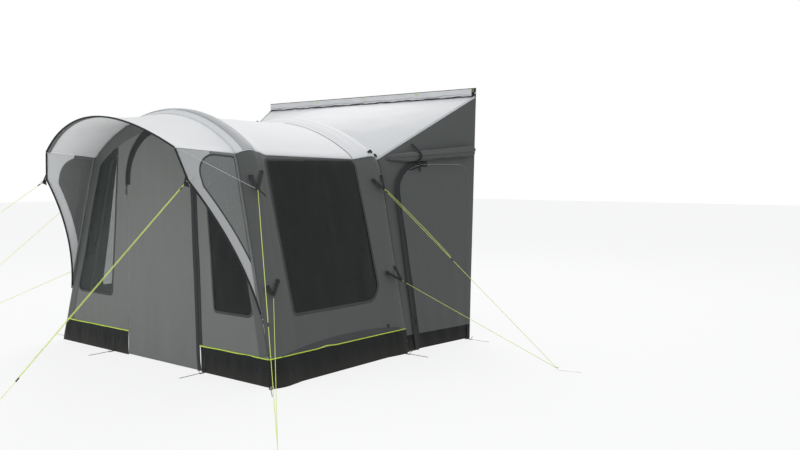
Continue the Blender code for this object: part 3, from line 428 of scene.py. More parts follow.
@dataclass(frozen=True)
class Rope(Finish):
    """Braided guy rope, with a reflective fleck in the braid."""

    strand: float = 0.006

    def vary(self, graph: Graph) -> dict[str, object]:
        """Braid from two crossing spirals."""
        round_it, along = graph.cloth_map()
        run = along * (TURN / self.strand)
        spiral = round_it * (TURN * 3.0)
        braid = (run + spiral).wave() * (run - spiral).wave()
        fleck = (along * (TURN / (self.strand * 4.0)) + round_it * TURN).wave().above(0.93, 0.06)
        # Darker where the braid sinks, by the pattern of its bump: painted shade in the grooves.
        colour = graph.mix(braid * 0.5 + 0.5, self.tint(0.72), self.tint(1.1))
        return {"Base_Color": graph.mix(fleck * 0.6, colour, (0.82, 0.84, 0.8, 1.0)),
                "Roughness": braid * 0.08 + self.roughness,
                "Normal": graph.bump(0.5, 0.0006, braid)}


@dataclass(frozen=True)
class Hard(Finish):
    """Moulded plastic, rod or metal, with a fine grain and light wear."""

    metallic: float = 0.0
    grain: float = 260.0
    relief: float = 0.00025
    wear: Point3 = (0.2, 0.2, 0.2)
    wear_share: float = 0.25

    def fixed(self) -> dict[str, object]:
        """Gloss of a moulding or of metal."""
        return {"Specular_IOR_Level": 0.5}

    def vary(self, graph: Graph) -> dict[str, object]:
        """Grain, and worn spots."""
        grain = graph.noise(self.grain, 3.0)
        worn = graph.noise(34.0, 5.0, Roughness=0.7).above(0.6, 0.14) * self.wear_share
        colour = graph.mix(grain, self.tint(0.88), self.tint(1.14))
        metal = self.metallic - worn * (0.3 * self.metallic) if self.metallic else 0.0
        return {"Base_Color": graph.mix(worn, colour, (*self.wear, 1.0)),
                "Roughness": worn * 0.3 + grain * 0.1 + self.roughness,
                "Metallic": metal, "Normal": graph.bump(0.4, self.relief, grain)}


LIGHT = Cloth("light_roof_cloth", "light_cloth", (0.71, 0.715, 0.72), 0.62)
# Paler copy of the roof cloth, not a separate lining: painted light, for light that comes through
# the thin cloth, on the hood's underside and the wings' inner faces.
PAINTED_LIGHT_CLOTH = Cloth("pale_hood_lining", "light_cloth", (0.86, 0.865, 0.87), 0.66)
# Darker copy of the roof cloth for the ridge over the front beam: painted shade.
RIDGE_PAINTED_SHADE = Cloth("shaded_ridge_cloth", "light_cloth", (0.43, 0.435, 0.44), 0.64)
# Grey cloth: on the wings' outer faces it is painted shade on the light cloth; the hood ropes'
# tabs are made of it too.
GREY_TAB_AND_WING_SHADE = Cloth("grey_wing_cloth", "light_cloth", (0.42, 0.425, 0.42), 0.66)
GREY = Cloth("grey_front_cloth", "grey_cloth", (0.137, 0.143, 0.135), 0.72)
DARK_SIDE = Cloth("dark_side_cloth", "side_cloth", (0.088, 0.092, 0.09), 0.72)
SLEEVE = Cloth("charcoal_sleeve_cloth", "dark_cloth", (0.05, 0.052, 0.054), 0.75, pitch=0.0024)
GROUND_SHEET = Cloth("black_skirt_sheet", "skirt_sheet", (0.0145, 0.015, 0.0155), 0.62,
                     relief=0.35, soil=0.10, sheen=0.03, gloss=0.12)
FILM = Film("tinted_window_film", "window_film", (0.013, 0.0135, 0.014), 0.12, cover=0.92)
CLEAR_FILM = Film("clear_window_film", "window_film", (0.075, 0.085, 0.081), 0.12, cover=0.3)
PALE_FILM = Film("smoked_wing_film", "window_film", (0.205, 0.214, 0.208), 0.2, cover=0.92)
BLACK_TAPE = Webbing("black_webbing", "dark_cloth", (0.024, 0.025, 0.026), 0.7)
DARK_BINDING = Webbing("dark_binding", "dark_cloth", (0.055, 0.057, 0.058), 0.6, rib=0.004)
GREY_TAPE = Webbing("grey_binding", "grey_cloth", (0.2, 0.205, 0.2), 0.7)
PALE_TAPE = Webbing("pale_piping", "light_cloth", (0.66, 0.67, 0.67), 0.6)
LIME_PIPING = Webbing("lime_piping", "rope", (0.58, 0.76, 0.10), 0.55, rib=0.003)
ZIP = ZipTape("zip_tape", "dark_cloth", (0.027, 0.028, 0.029), 0.6)
LIME_ROPE = Rope("lime_guy_rope", "rope", (0.76, 0.92, 0.16), 0.55)
PALE_CORD = Rope("pale_hood_cord", "light_cloth", (0.7, 0.71, 0.7), 0.55)
MOULDING = Hard("black_moulding", "moulding", (0.022, 0.022, 0.024), 0.42)
GLASS_FIBRE = Hard("black_pole", "glass_fibre", (0.03, 0.03, 0.032), 0.35)
STEEL = Hard("zinc_steel", "steel", (0.56, 0.57, 0.56), 0.3, metallic=1.0, relief=0.0001,
             wear=(0.24, 0.17, 0.11), wear_share=0.3)


@dataclass
class Arch:
    """Cross section of the body: a roof arc, an eave bend and a leaning wall.

    A station is 0 at the apex, 1 where the roof arc ends, 2 at the eave seam, 3 where the
    wall starts and 4 on the ground. Negative stations lie on the left.
    """

    width: float
    apex: float
    radius: float
    lean: float
    eave: float = 0.25
    seam_turn: float = math.radians(53.0)

    def __post_init__(self) -> None:
        """Works out where the eave bend sits between the roof arc and the wall."""
        self.half = self.width / 2
        reach = self.half - self.eave * math.hypot(1.0, self.lean)
        self.centre = self.apex - self.radius
        span = self.radius - self.eave
        quad = 1.0 + self.lean ** 2
        linear = -2.0 * (reach * self.lean + self.centre)
        constant = reach ** 2 + self.centre ** 2 - span ** 2
        self.bend_z = (math.sqrt(linear ** 2 - 4.0 * quad * constant) - linear) / (2.0 * quad)
        self.bend_x = reach - self.lean * self.bend_z
        self.roof_turn = math.asin(self.bend_x / span)
        self.wall_turn = math.atan2(1.0, self.lean)
        self.wall_top = self.bend_z + self.eave * math.cos(self.wall_turn)
        self.lengths = [0.0]
        for step in range(4 * PER_STATION):
            leap = self.point((step + 1) / PER_STATION) - self.point(step / PER_STATION)
            self.lengths.append(self.lengths[-1] + leap.length)

    def turn(self, station: float) -> float:
        """Angle of the outward normal from straight up, at a station."""
        place = abs(station)
        if place <= 1.0:
            return self.roof_turn * place
        if place <= 2.0:
            return self.roof_turn + (self.seam_turn - self.roof_turn) * (place - 1.0)
        if place <= 3.0:
            return self.seam_turn + (self.wall_turn - self.seam_turn) * (place - 2.0)
        return self.wall_turn

    def normal(self, station: float) -> Vector:
        """Outward normal at a station."""
        turn = self.turn(station)
        return Vector((math.copysign(math.sin(turn), station), 0.0, math.cos(turn)))

    def point(self, station: float) -> Vector:
        """Place of a station on the outer face, at y 0."""
        turn = self.turn(station)
        place = abs(station)
        if place <= 1.0:
            x = self.radius * math.sin(turn)
            z = self.centre + self.radius * math.cos(turn)
        elif place <= 3.0:
            x = self.bend_x + self.eave * math.sin(turn)
            z = self.bend_z + self.eave * math.cos(turn)
        else:
            z = self.wall_top * (4.0 - place)
            x = self.half - self.lean * z
        return Vector((math.copysign(x, station), 0.0, z))

    def at_height(self, height: float) -> float:
        """Station on the right wall, or in its eave bend, at a height."""
        if height <= self.wall_top:
            return 4.0 - height / self.wall_top
        turn = math.acos(min(1.0, (height - self.bend_z) / self.eave))
        return 3.0 - (self.wall_turn - turn) / (self.wall_turn - self.seam_turn)

    def length_to(self, station: float) -> float:
        """Length of cloth from the apex to a station, negative on the left."""
        place = min(4.0, abs(station)) * PER_STATION
        index = min(4 * PER_STATION - 1, int(place))
        low, high = self.lengths[index], self.lengths[index + 1]
        return math.copysign(low + (high - low) * (place - index), station)

    def at_length(self, length: float) -> float:
        """Station at a length of cloth from the apex."""
        target = abs(length)
        low = last_where(4 * PER_STATION, lambda index: self.lengths[index] < target)
        share = (target - self.lengths[low]) / (self.lengths[low + 1] - self.lengths[low])
        return math.copysign((low + min(1.0, share)) / PER_STATION, length)


@dataclass
class Shell:
    """The body's outer form, between its front and rear sections."""

    front: Arch = field(default_factory=lambda: Arch(2.91, 2.087, 1.55, 0.27))
    rear: Arch = field(default_factory=lambda: Arch(2.97, 2.075, 1.90, 0.21))
    depth: float = 1.60
    rake: float = 0.026
    skirt_height: float = 0.205
    ridge_rise: float = 0.055
    ridge_foot_rise: float = 0.025
    ridge: tuple[Point, ...] = ((0.0, 0.0), (0.055, 0.76), (0.09, 1.0), (0.13, 1.0),
                                (0.19, 0.64), (0.30, 0.0))
    beam_radius: float = 0.065
    beam_setback: float = 0.11
    beam_clearance: float = 0.0037
    blend_in: float = 0.3
    brow_reach: float = 0.57
    brow_apex: float = 2.03
    corner: Point3 = (0.905, -0.46, 1.77)
    knee: Point3 = (0.995, -0.41, 1.53)
    wing_foot: float = 0.50
    wing_bow: float = 0.075
    roll_inset: float = 0.06
    roll_level: float = 1.715
    roll_climb: float = 0.085

    def facing(self, side: Side) -> Vector:
        """Outward direction of a side wall."""
        return Vector((side.value, 0.0, self.front.lean)).normalized()

    def ahead(self) -> Vector:
        """Outward direction of the front wall."""
        return Vector((0.0, -1.0, self.rake)).normalized()

    def front_y(self, height: float) -> float:
        """The front plane leans back as it rises."""
        return self.rake * height

    def slide_to(self, point: Vector, station: float, level: float) -> Vector:
        """Slides a point down the wall's slope to a level.

        Args:
            point: The point to move.
            station: Its station.
            level: Height to stop at.

        Returns:
            The moved point.
        """
        shift = math.copysign(self.front.lean * (point.z - level), station)
        return Vector((point.x + shift, point.y, level))

    def rise_share(self, place: float) -> float:
        """Share of the ridge's rise at a distance behind the front, rounded over the beams."""
        place = min(place, self.depth - place)
        for (low, first), (high, second) in zip(self.ridge, self.ridge[1:]):
            if place <= high:
                share = max(0.0, (place - low) / (high - low))
                soft = share * share * (3.0 - 2.0 * share)
                return first + (second - first) * (0.5 * share + 0.5 * soft)
        return 0.0

    def rise(self, station: float) -> float:
        """Rise of the cloth over a beam, which gets less down the walls."""
        share = clamp(abs(station) - 3.0)
        return self.ridge_rise + (self.ridge_foot_rise - self.ridge_rise) * share

    def row(self, station: float, place: float) -> float:
        """Distance behind the front plane of a place on the ground plan."""
        share = clamp((place - self.blend_in) / (self.depth - 2.0 * self.blend_in))
        return place - share * self.front_y(self.front.point(station).z)

    def point(self, station: float, behind: float, depth: float = 0.0,
              rise: float = 0.0) -> Vector:
        """Point of the body.

        Args:
            station: Place round the section.
            behind: Distance behind the front plane.
            depth: Distance under the outer face.
            rise: Rise over it.

        Returns:
            The point, about the middle of the front wall's foot.
        """
        near = self.front.point(station)
        near.y = self.front_y(near.z)
        far = self.rear.point(station)
        far.y = self.depth
        point = near.lerp(far, behind / (far.y - near.y))
        point += self.front.normal(station) * (rise - depth)
        if abs(station) >= 4.0:
            point = self.slide_to(point, station, 0.0)
        return point

    def cloth(self, station: float, place: float, lift: float = 0.0) -> Vector:
        """Point of the stretched cloth, ridges included, lifted off it by a distance."""
        rise = self.rise(station) * self.rise_share(place)
        return self.point(station, self.row(station, place), -lift, rise)

    def brow(self, station: float) -> Vector:
        """Front edge of the hood to station 2, then the leg of the wing to its foot at 4."""
        place = abs(station)
        corner, knee = Vector(self.corner), Vector(self.knee)
        if place <= 2.0:
            share = self.front.point(place).x / self.front.point(2.0).x
            point = Vector((corner.x * share,
                            -self.brow_reach + (self.brow_reach + corner.y) * share ** 2,
                            self.brow_apex - (self.brow_apex - corner.z) * share ** 2))
        elif place <= 2.5:
            point = corner.lerp(knee, (place - 2.0) * 2.0)
        else:
            share = (place - 2.5) / 1.5
            foot = self.point(self.front.at_height(self.wing_foot), 0.0)
            point = knee.lerp(foot, share)
            point.y += self.wing_bow * 4.0 * share * (1.0 - share)
        point.x = math.copysign(point.x, station)
        return point

    def wing_edge(self, place: float) -> float:
        """Station of the wing's rear edge on the front plane, for a place on its leg."""
        seam = self.front.point(2.0).z
        top, bend = self.corner[2], self.knee[2]
        knee_share = (top - bend) / (top - self.wing_foot)
        if place <= 2.5:
            share = (place - 2.0) * 2.0 * knee_share
        else:
            share = knee_share + (1.0 - knee_share) * (place - 2.5) / 1.5
        return self.front.at_height(seam + (self.wing_foot - seam) * share)

    def hood(self, station: float, share: float) -> Vector:
        """Point of the hood, from the body's arch at share 0 to the brow at share 1."""
        point = self.point(station, 0.0).lerp(self.brow(station), share)
        point.z -= 0.02 * 4.0 * share * (1.0 - share) * (1.0 - (station / 2.0) ** 2)
        return point

    def wing(self, side: Side, place: float, share: float) -> Vector:
        """Point of a wing, from the body's front edge at share 0 to its leg at share 1."""
        near = self.point(side.value * self.wing_edge(place), 0.0)
        return near.lerp(self.brow(side.value * place), share)

    def roll_spot(self, share: float) -> Point:
        """Distance behind the front wall, and height, of the rolled door on its wall."""
        return (self.depth + self.roll_inset + ROLL_LENGTH * share,
                self.roll_level + self.roll_climb * share)

    def roll_middle(self, share: float, radius: float) -> tuple[Vector, Vector, Vector]:
        """Middle of the rolled door at a share of its length, and its ways out and up."""
        behind, height = self.roll_spot(share)
        wall = self.tunnel_at(Side.RIGHT, behind, height)
        up = self.tunnel_at(Side.RIGHT, behind, height + 0.001) - wall
        out = Vector((up.z, 0.0, -up.x)).normalized()
        return wall + out * (radius * 1.08 + 0.001), out, up.normalized()

    def beam(self, station: float, behind: float, out: float = 0.0) -> Vector:
        """Point near a beam's middle line, by its offset towards the roof."""
        depth = self.beam_clearance + self.beam_radius - out
        return self.point(station, self.row(station, behind), depth, self.rise(station))

    def tunnel_roof(self, station: float, share: float, lift: float = 0.0) -> Vector:
        """Point of the tunnel's roof, from the rear arch up to the strip at the vehicle."""
        near = self.rear.point(station)
        near.y = self.depth + 0.0003
        across = (near.x / self.rear.point(2.0).x + 1.0) / 2.0
        far = Vector((TUNNEL_LEFT + (TUNNEL_RIGHT - TUNNEL_LEFT) * across,
                      self.depth + TUNNEL_DEPTH, STRIP_FOOT))
        return near.lerp(far, share) + self.front.normal(station) * lift

    def tunnel_wall(self, side: Side, station: float, share: float,
                    lift: float = 0.0) -> Vector:
        """Point of a tunnel wall, from the body's rear edge to the vehicle's side."""
        turn = side.value * station
        near = self.rear.point(turn)
        near.y = self.depth + 0.0003
        foot = Vector((side.value * TUNNEL_FOOT_HALF,
                       self.depth + TUNNEL_DEPTH - TUNNEL_FOOT_SHORT, 0.0))
        top = Vector((TUNNEL_RIGHT if side is Side.RIGHT else TUNNEL_LEFT,
                      self.depth + TUNNEL_DEPTH, STRIP_FOOT))
        far = foot.lerp(top, near.z / self.rear.point(2.0).z)
        point = near.lerp(far, share) + self.front.normal(turn) * lift
        return self.slide_to(point, turn, 0.0) if station >= 4.0 else point

    def tunnel_at(self, side: Side, behind: float, height: float, lift: float = 0.0) -> Vector:
        """Point of a tunnel wall at a distance behind the front wall and a height."""
        low, high, share = 2.0, 4.0, 0.0
        for _ in range(HALVINGS):
            middle = (low + high) / 2
            near, far = (self.tunnel_wall(side, middle, end) for end in (0.0, 1.0))
            share = clamp((behind - near.y) / (far.y - near.y))
            if near.z + (far.z - near.z) * share > height:
                low = middle
            else:
                high = middle
        return self.tunnel_wall(side, low, share, lift)


@dataclass
class Cut:
    """A cloth panel's flat cutting plan, in metres, that is trimmed before it is hung."""

    low: Point
    high: Point
    cell: float = CLOTH_CELL
    mesh: bmesh.types.BMesh = field(default_factory=bmesh.new)

    def __post_init__(self) -> None:
        """Lays out the plan's grid."""
        width, length = self.high[0] - self.low[0], self.high[1] - self.low[1]
        bmesh.ops.create_grid(self.mesh, x_segments=max(1, round(width / self.cell)),
                              y_segments=max(1, round(length / self.cell)), size=0.5)
        bmesh.ops.scale(self.mesh, vec=(width, length, 1.0), verts=self.mesh.verts)
        bmesh.ops.translate(self.mesh, verts=self.mesh.verts,
                            vec=(self.low[0] + width / 2, self.low[1] + length / 2, 0.0))

    @classmethod
    def around(cls, outline: Sequence[Point]) -> "Cut":
        """Plan of the smallest box about an outline, trimmed to it."""
        low, high = (tuple(pick(spot[axis] for spot in outline) for axis in (0, 1))
                     for pick in (min, max))
        return cls(low, high).trim(outline)

    def trim(self, outline: Sequence[Point], inside: bool = True) -> "Cut":
        """Cuts the grid along a closed outline.

        Args:
            outline: Corners of the outline.
            inside: Whether the part inside it is kept, or the part outside.

        Returns:
            The same plan.
        """
        for index, end in enumerate(outline):
            start = outline[index - 1]
            along = Vector((end[0] - start[0], end[1] - start[1], 0.0))
            if along.length < 1e-6:
                continue
            reach = 1.5 * self.cell
            low = [min(start[axis], end[axis]) - reach for axis in (0, 1)]
            high = [max(start[axis], end[axis]) + reach for axis in (0, 1)]
            near = [face for face in self.mesh.faces
                    if all(low[axis] <= face.calc_center_median()[axis] <= high[axis]
                           for axis in (0, 1))]
            parts = {part for face in near for part in (*face.verts, *face.edges, face)}
            bmesh.ops.bisect_plane(self.mesh, geom=list(parts), dist=1e-6,
                                   plane_co=(*start, 0.0),
                                   plane_no=along.cross(UP).normalized())
        lost = [face for face in self.mesh.faces
                if within(outline, face.calc_center_median()) != inside]
        bmesh.ops.delete(self.mesh, geom=lost, context="FACES")
        return self

    def hang(self, name: str, place: Place, finish: Finish, body: Body = Body.AWNING,
             thickness: float = CLOTH_WALL, shift: Vector = PITCH) -> bpy.types.Object:
        """Turns the plan into a piece, with its own map in metres.

        Args:
            name: Name of the piece.
            place: Gives the point of the outer face for a place on the plan.
            finish: What the piece is made of.
            body: The body that it rides on.
            thickness: Thickness of the cloth, which grows inwards.
            shift: Move from the place function's frame to the row frame.

        Returns:
            The finished piece.
        """
        sheet = self.mesh.loops.layers.uv.new("cloth")
        for face in self.mesh.faces:
            face.smooth = True
            for loop in face.loops:
                loop[sheet].uv = loop.vert.co.xy
        for vert in self.mesh.verts:
            vert.co = place(vert.co.x, vert.co.y)
        return publish(name, self.mesh, finish, body, thickness, shift)

    def drape(self, name: str, node: str | None, place: Place, finish: Finish, held: str,
              rests_on: Sequence[str], body: Body = Body.AWNING,
              thickness: float = CLOTH_WALL, back: Finish | None = None) -> bpy.types.Object:
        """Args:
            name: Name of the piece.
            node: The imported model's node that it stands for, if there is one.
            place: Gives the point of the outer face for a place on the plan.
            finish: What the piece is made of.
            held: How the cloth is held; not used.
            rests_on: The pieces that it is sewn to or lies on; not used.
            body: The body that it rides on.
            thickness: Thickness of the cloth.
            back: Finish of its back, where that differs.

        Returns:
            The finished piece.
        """
        spots = [vert.co for vert in self.mesh.verts]
        size = [max(spot[axis] for spot in spots) - min(spot[axis] for spot in spots)
                for axis in (0, 1)]
        full = size[0] * size[1]
        area = sum(face.calc_area() for face in self.mesh.faces)
        piece = self.hang(name, place, finish, body, thickness)
        if back:
            piece.data.materials.append(back.make())
            piece.modifiers["wall"].material_offset = 1
        if node:
            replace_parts(piece, node)
        min(max(area, LEAST_CUT * full), full)
        return piece


def within(outline: Sequence[Point], spot: Vector) -> bool:
    """Whether a spot of the plan lies inside a closed outline."""
    odd = False
    for index, (x, y) in enumerate(outline):
        before_x, before_y = outline[index - 1]
        if (y > spot.y) != (before_y > spot.y):
            if spot.x < x + (before_x - x) * (spot.y - y) / (before_y - y):
                odd = not odd
    return odd


def clamp(*values: float) -> float:
    """The least of some values and 1, but not under 0."""
    return max(0.0, min(1.0, *values))


def halve(low: float, high: float, holds: Callable[[float], bool]) -> float:
    """Last value between two at which a test holds, found by halving."""
    for _ in range(HALVINGS):
        middle = (low + high) / 2
        if holds(middle):
            low = middle
        else:
            high = middle
    return low


def last_where(count: int, holds: Callable[[int], bool]) -> int:
    """Last index below a count at which a test holds, or 0."""
    low, high = 0, count
    while high - low > 1:
        middle = (low + high) // 2
        if holds(middle):
            low = middle
        else:
            high = middle
    return low


def stepped(points: Sequence[Sequence[float]], closed: bool = False) -> list[Vector]:
    """A line of points in short steps.

    Args:
        points: Corners of the line.
        closed: Whether it runs back to its start.

    Returns:
        The corners and the points between them.
    """
    corners = [Vector(point) for point in points]
    if closed:
        corners.append(corners[0])
    fine = []
    for before, after in zip(corners, corners[1:]):
        count = max(1, round((after - before).length / LINE_STEP))
        fine += [before.lerp(after, step / count) for step in range(count)]
    return fine + [corners[-1].copy()]


def publish(name: str, mesh: bmesh.types.BMesh, finish: Finish, body: Body = Body.AWNING,
            thickness: float = 0.0, shift: Vector = PITCH) -> bpy.types.Object:
    """Makes a finished piece from a bmesh.

    Args:
        name: Name of the piece.
        mesh: Its shape, which is freed.
        finish: What it is made of.
        body: The body that it rides on.
        thickness: Wall that a sheet gets, inwards, or 0 for a closed form.
        shift: Move from the mesh's own frame to the row frame.

    Returns:
        The new object.
    """
    bmesh.ops.translate(mesh, verts=mesh.verts, vec=shift)
    if thickness == 0.0:
        bmesh.ops.remove_doubles(mesh, verts=mesh.verts, dist=1e-6)
        bmesh.ops.recalc_face_normals(mesh, faces=mesh.faces)
    data = bpy.data.meshes.new(name)
    mesh.to_mesh(data)
    mesh.free()
    piece = bpy.data.objects.new(name, data)
    bpy.context.scene.collection.objects.link(piece)
    data.materials.append(finish.make())
    if thickness > 0.0:
        wall = piece.modifiers.new("wall", "SOLIDIFY")
        wall.thickness = thickness
        wall.offset = -1.0
        wall.use_even_offset = False
    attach(piece, body.value)
    return piece


def rounded(corners: Sequence[tuple[float, float, float]], steps: int = 10) -> list[Point]:
    """Outline of corners given as (a, b, radius), each rounded by an arc.

    Args:
        corners: The corners, with the radius of each.
        steps: Steps of an arc.

    Returns:
        Points of the outline.
    """
    points = []
    for index, (a, b, radius) in enumerate(corners):
        here = Vector((a, b))
        if radius <= 0.0:
            points.append((a, b))
            continue
        before = (Vector(corners[index - 1][:2]) - here).normalized()
        after = (Vector(corners[(index + 1) % len(corners)][:2]) - here).normalized()
        half = before.angle(after) / 2
        centre = here + (before + after).normalized() * (radius / math.sin(half))
        first = here + before * (radius / math.tan(half)) - centre
        last = here + after * (radius / math.tan(half)) - centre
        sweep = math.atan2(first.x * last.y - first.y * last.x, first.dot(last))
        for step in range(steps + 1):
            turned = Matrix.Rotation(sweep * step / steps, 2) @ first
            points.append(tuple(centre + turned))
    return points


def grown(outline: Sequence[Point], step: float) -> list[Point]:
    """An anticlockwise outline moved outwards by a distance, or inwards by a negative one."""
    moved = []
    for index, (a, b) in enumerate(outline):
        before = Vector(outline[index - 1])
        here = Vector((a, b))
        after = Vector(outline[(index + 1) % len(outline)])
        first, second = (here - before), (after - here)
        out = Vector((first.y, -first.x)).normalized() + Vector((second.y, -second.x)).normalized()
        if out.length < 1e-6:
            continue
        out.normalize()
        side = Vector((first.y, -first.x)).normalized()
        moved.append(tuple(here + out * (step / max(0.5, out.dot(side)))))
    return moved


@dataclass
class Track:
    """A line that a tape, piping or rope follows, with the outward direction along it."""

    points: Sequence[Vector]
    outs: Sequence[Vector] | Vector

    def __post_init__(self) -> None:
        """Measures the line, and gives each point its outward direction."""
        if isinstance(self.outs, Vector):
            self.outs = [self.outs] * len(self.points)
        self.marks = [0.0]
        for before, after in zip(self.points, self.points[1:]):
            self.marks.append(self.marks[-1] + (after - before).length)

    @property
    def length(self) -> float:
        """Length of the line."""
        return self.marks[-1]

    def at(self, length: float) -> tuple[Vector, Vector, Vector]:
        """Point, direction and outward direction at a length along the line."""
        low = last_where(len(self.marks) - 1, lambda index: self.marks[index] <= length)
        high = low + 1
        share = clamp((length - self.marks[low]) / (self.marks[high] - self.marks[low]))
        before, after = max(0, low - 1), min(len(self.points) - 1, high + 1)
        first = (self.points[high] - self.points[before]).normalized()
        second = (self.points[after] - self.points[low]).normalized()
        ahead = first.lerp(second, share).normalized()
        out = self.outs[low].lerp(self.outs[high], share)
        out = (out - ahead * out.dot(ahead)).normalized()
        return self.points[low].lerp(self.points[high], share), ahead, out

    def tape(self, name: str, edges: Point, lift: float, finish: Finish,
             body: Body = Body.AWNING, thickness: float = CLOTH_WALL, crown: float = 0.0,
             cell: float = 0.012, pucker: float = 0.0,
             shift: Vector = PITCH) -> bpy.types.Object:
        """Flat tape along the line.

        Args:
            name: Name of the piece.
            edges: Offsets of its two edges, to the right of the line seen from outside.
            lift: Height of its outer face over the line.
            finish: What it is made of.
            body: The body that it rides on.
            thickness: Thickness of the tape.
            crown: How much its middle stands over its edges.
            cell: Size of its mesh.
            pucker: Depth of the stitching's puckers.
            shift: Move from the line's frame to the row frame.

        Returns:
            The piece.
        """
        low, high = edges
        middle, half = (low + high) / 2, (high - low) / 2

        def place(across: float, along: float) -> Vector:
            """Point of the tape's outer face."""
            point, ahead, out = self.at(along)
            share = (across - middle) / half
            height = lift + crown * (1.0 - share * share)
            height += pucker * noise.noise(point * 45.0)
            return point + ahead.cross(out) * across + out * height

        return Cut((low, 0.0), (high, self.length), cell).hang(name, place, finish, body,
                                                               thickness, shift=shift)

    def tube(self, name: str, radius: float, finish: Finish, body: Body = Body.AWNING,
             sides: int = 12, step: float = 0.02, shift: Vector = PITCH) -> bpy.types.Object:
        """Round piping, rod or rope along the line, with closed ends.

        Args:
            name: Name of the piece.
            radius: Its radius.
            finish: What it is made of.
            body: The body that it rides on.
            sides: Faces round it.
            step: Length of a face along it.
            shift: Move from the line's frame to the row frame.

        Returns:
            The piece.
        """
        def place(turn: float, share: float) -> Vector:
            """Point of the tube's face."""
            point, ahead, out = self.at(share * self.length)
            return (point + ahead.cross(out) * (radius * math.cos(turn))
                    + out * (radius * math.sin(turn)))

        mesh = wrapped(sides, max(1, round(self.length / step)), (1.0, self.length), place)
        return publish(name, mesh, finish, body, shift=shift)


def wrapped(sides: int, rows: int, cloth: Point, place: Place,
            weld: float = 1e-6) -> bmesh.types.BMesh:
    """Wraps a sheet into a closed form.

    Args:
        sides: Faces round it.
        rows: Faces along it.
        cloth: Width and length of its map.
        place: Gives the point for an angle round it and a share along it.
        weld: Distance within which points are joined.

    Returns:
        The form.
    """
    mesh = bmesh.new()
    bmesh.ops.create_grid(mesh, x_segments=sides, y_segments=rows, size=0.5)
    sheet = mesh.loops.layers.uv.new("cloth")
    for face in mesh.faces:
        face.smooth = True
        for loop in face.loops:
            spot = loop.vert.co
            loop[sheet].uv = ((spot.x + 0.5) * cloth[0], (spot.y + 0.5) * cloth[1])
    for vert in mesh.verts:
        vert.co = place((vert.co.x + 0.5) * TURN, vert.co.y + 0.5)
    bmesh.ops.remove_doubles(mesh, verts=mesh.verts, dist=weld)
    bmesh.ops.holes_fill(mesh, edges=[edge for edge in mesh.edges if edge.is_boundary])
    return mesh


def straight(start: Vector, end: Vector, out: Vector = UP, steps: int = 16) -> Track:
    """Straight line from a start to an end, with one outward direction."""
    return Track([start.lerp(end, step / steps) for step in range(steps + 1)], out)


def stand(origin: Vector, out: Vector, ahead: Vector) -> Matrix:
    """Matrix that stands a fitting on a surface: z outwards, y ahead along it."""
    z = out.normalized()
    y = (ahead - z * ahead.dot(z)).normalized()
    matrix = Matrix((y.cross(z), y, z)).transposed().to_4x4()
    matrix.translation = origin
    return matrix


def smooth_faces(mesh: bmesh.types.BMesh, angle: float = math.radians(35.0)) -> None:
    """Shades a mesh smooth, but for edges sharper than an angle."""
    for face in mesh.faces:
        face.smooth = True
    for edge in mesh.edges:
        if len(edge.link_faces) == 2 and edge.calc_face_angle(0.0) > angle:
            edge.smooth = False


def bevelled_box(size: Point3, offset: float, segments: int = 2) -> bmesh.types.BMesh:
    """Box about its own middle, with rounded edges."""
    mesh = bmesh.new()
    bmesh.ops.create_cube(mesh, size=1.0)
    bmesh.ops.scale(mesh, verts=mesh.verts, vec=size)
    bmesh.ops.bevel(mesh, geom=mesh.edges[:], offset=offset, segments=segments,
                    affect="EDGES", profile=0.5, material=-1)
    return mesh


def ring(radius: float, wire: float, segments: int = 20) -> bmesh.types.BMesh:
    """Round ring of wire about z."""
    mesh = bmesh.new()
    bmesh.ops.create_circle(mesh, cap_ends=False, segments=8, radius=wire)
    bmesh.ops.rotate(mesh, verts=mesh.verts, matrix=Matrix.Rotation(math.pi / 2, 3, "X"))
    bmesh.ops.translate(mesh, verts=mesh.verts, vec=(radius, 0.0, 0.0))
    bmesh.ops.spin(mesh, geom=mesh.verts[:] + mesh.edges[:], cent=(0.0, 0.0, 0.0),
                   axis=(0.0, 0.0, 1.0), angle=TURN, steps=segments,
                   use_merge=True)
    smooth_faces(mesh, math.pi)
    return mesh


def merge(parts: Sequence[tuple[bmesh.types.BMesh, Matrix]]) -> bmesh.types.BMesh:
    """Puts several shapes into one mesh, each moved by its own matrix, and frees them."""
    whole = bmesh.new()
    for mesh, matrix in parts:
        bmesh.ops.transform(mesh, matrix=matrix, verts=mesh.verts)
        data = bpy.data.meshes.new("part")
        mesh.to_mesh(data)
        mesh.free()
        whole.from_mesh(data)
        bpy.data.meshes.remove(data)
    return whole


def fit(name: str, mesh: bmesh.types.BMesh, frame: Matrix, finish: Finish,
        shift: Vector = NO_SHIFT) -> bpy.types.Object:
    """Stands a shape in its place as a finished piece.

    Args:
        name: Name of the piece.
        mesh: Its shape, about its own middle.
        frame: Where it stands.
        finish: What it is made of.
        shift: Move from the frame's space to the row frame.

    Returns:
        The piece.
    """
    bmesh.ops.transform(mesh, matrix=frame, verts=mesh.verts)
    return publish(name, mesh, finish, shift=shift)


def crumple(spot: Vector, size: float, depth: float) -> float:
    """Height of soft creases of a size, at a spot of the cloth."""
    return depth * noise.fractal(spot / size, 1.0, 2.0, 3)


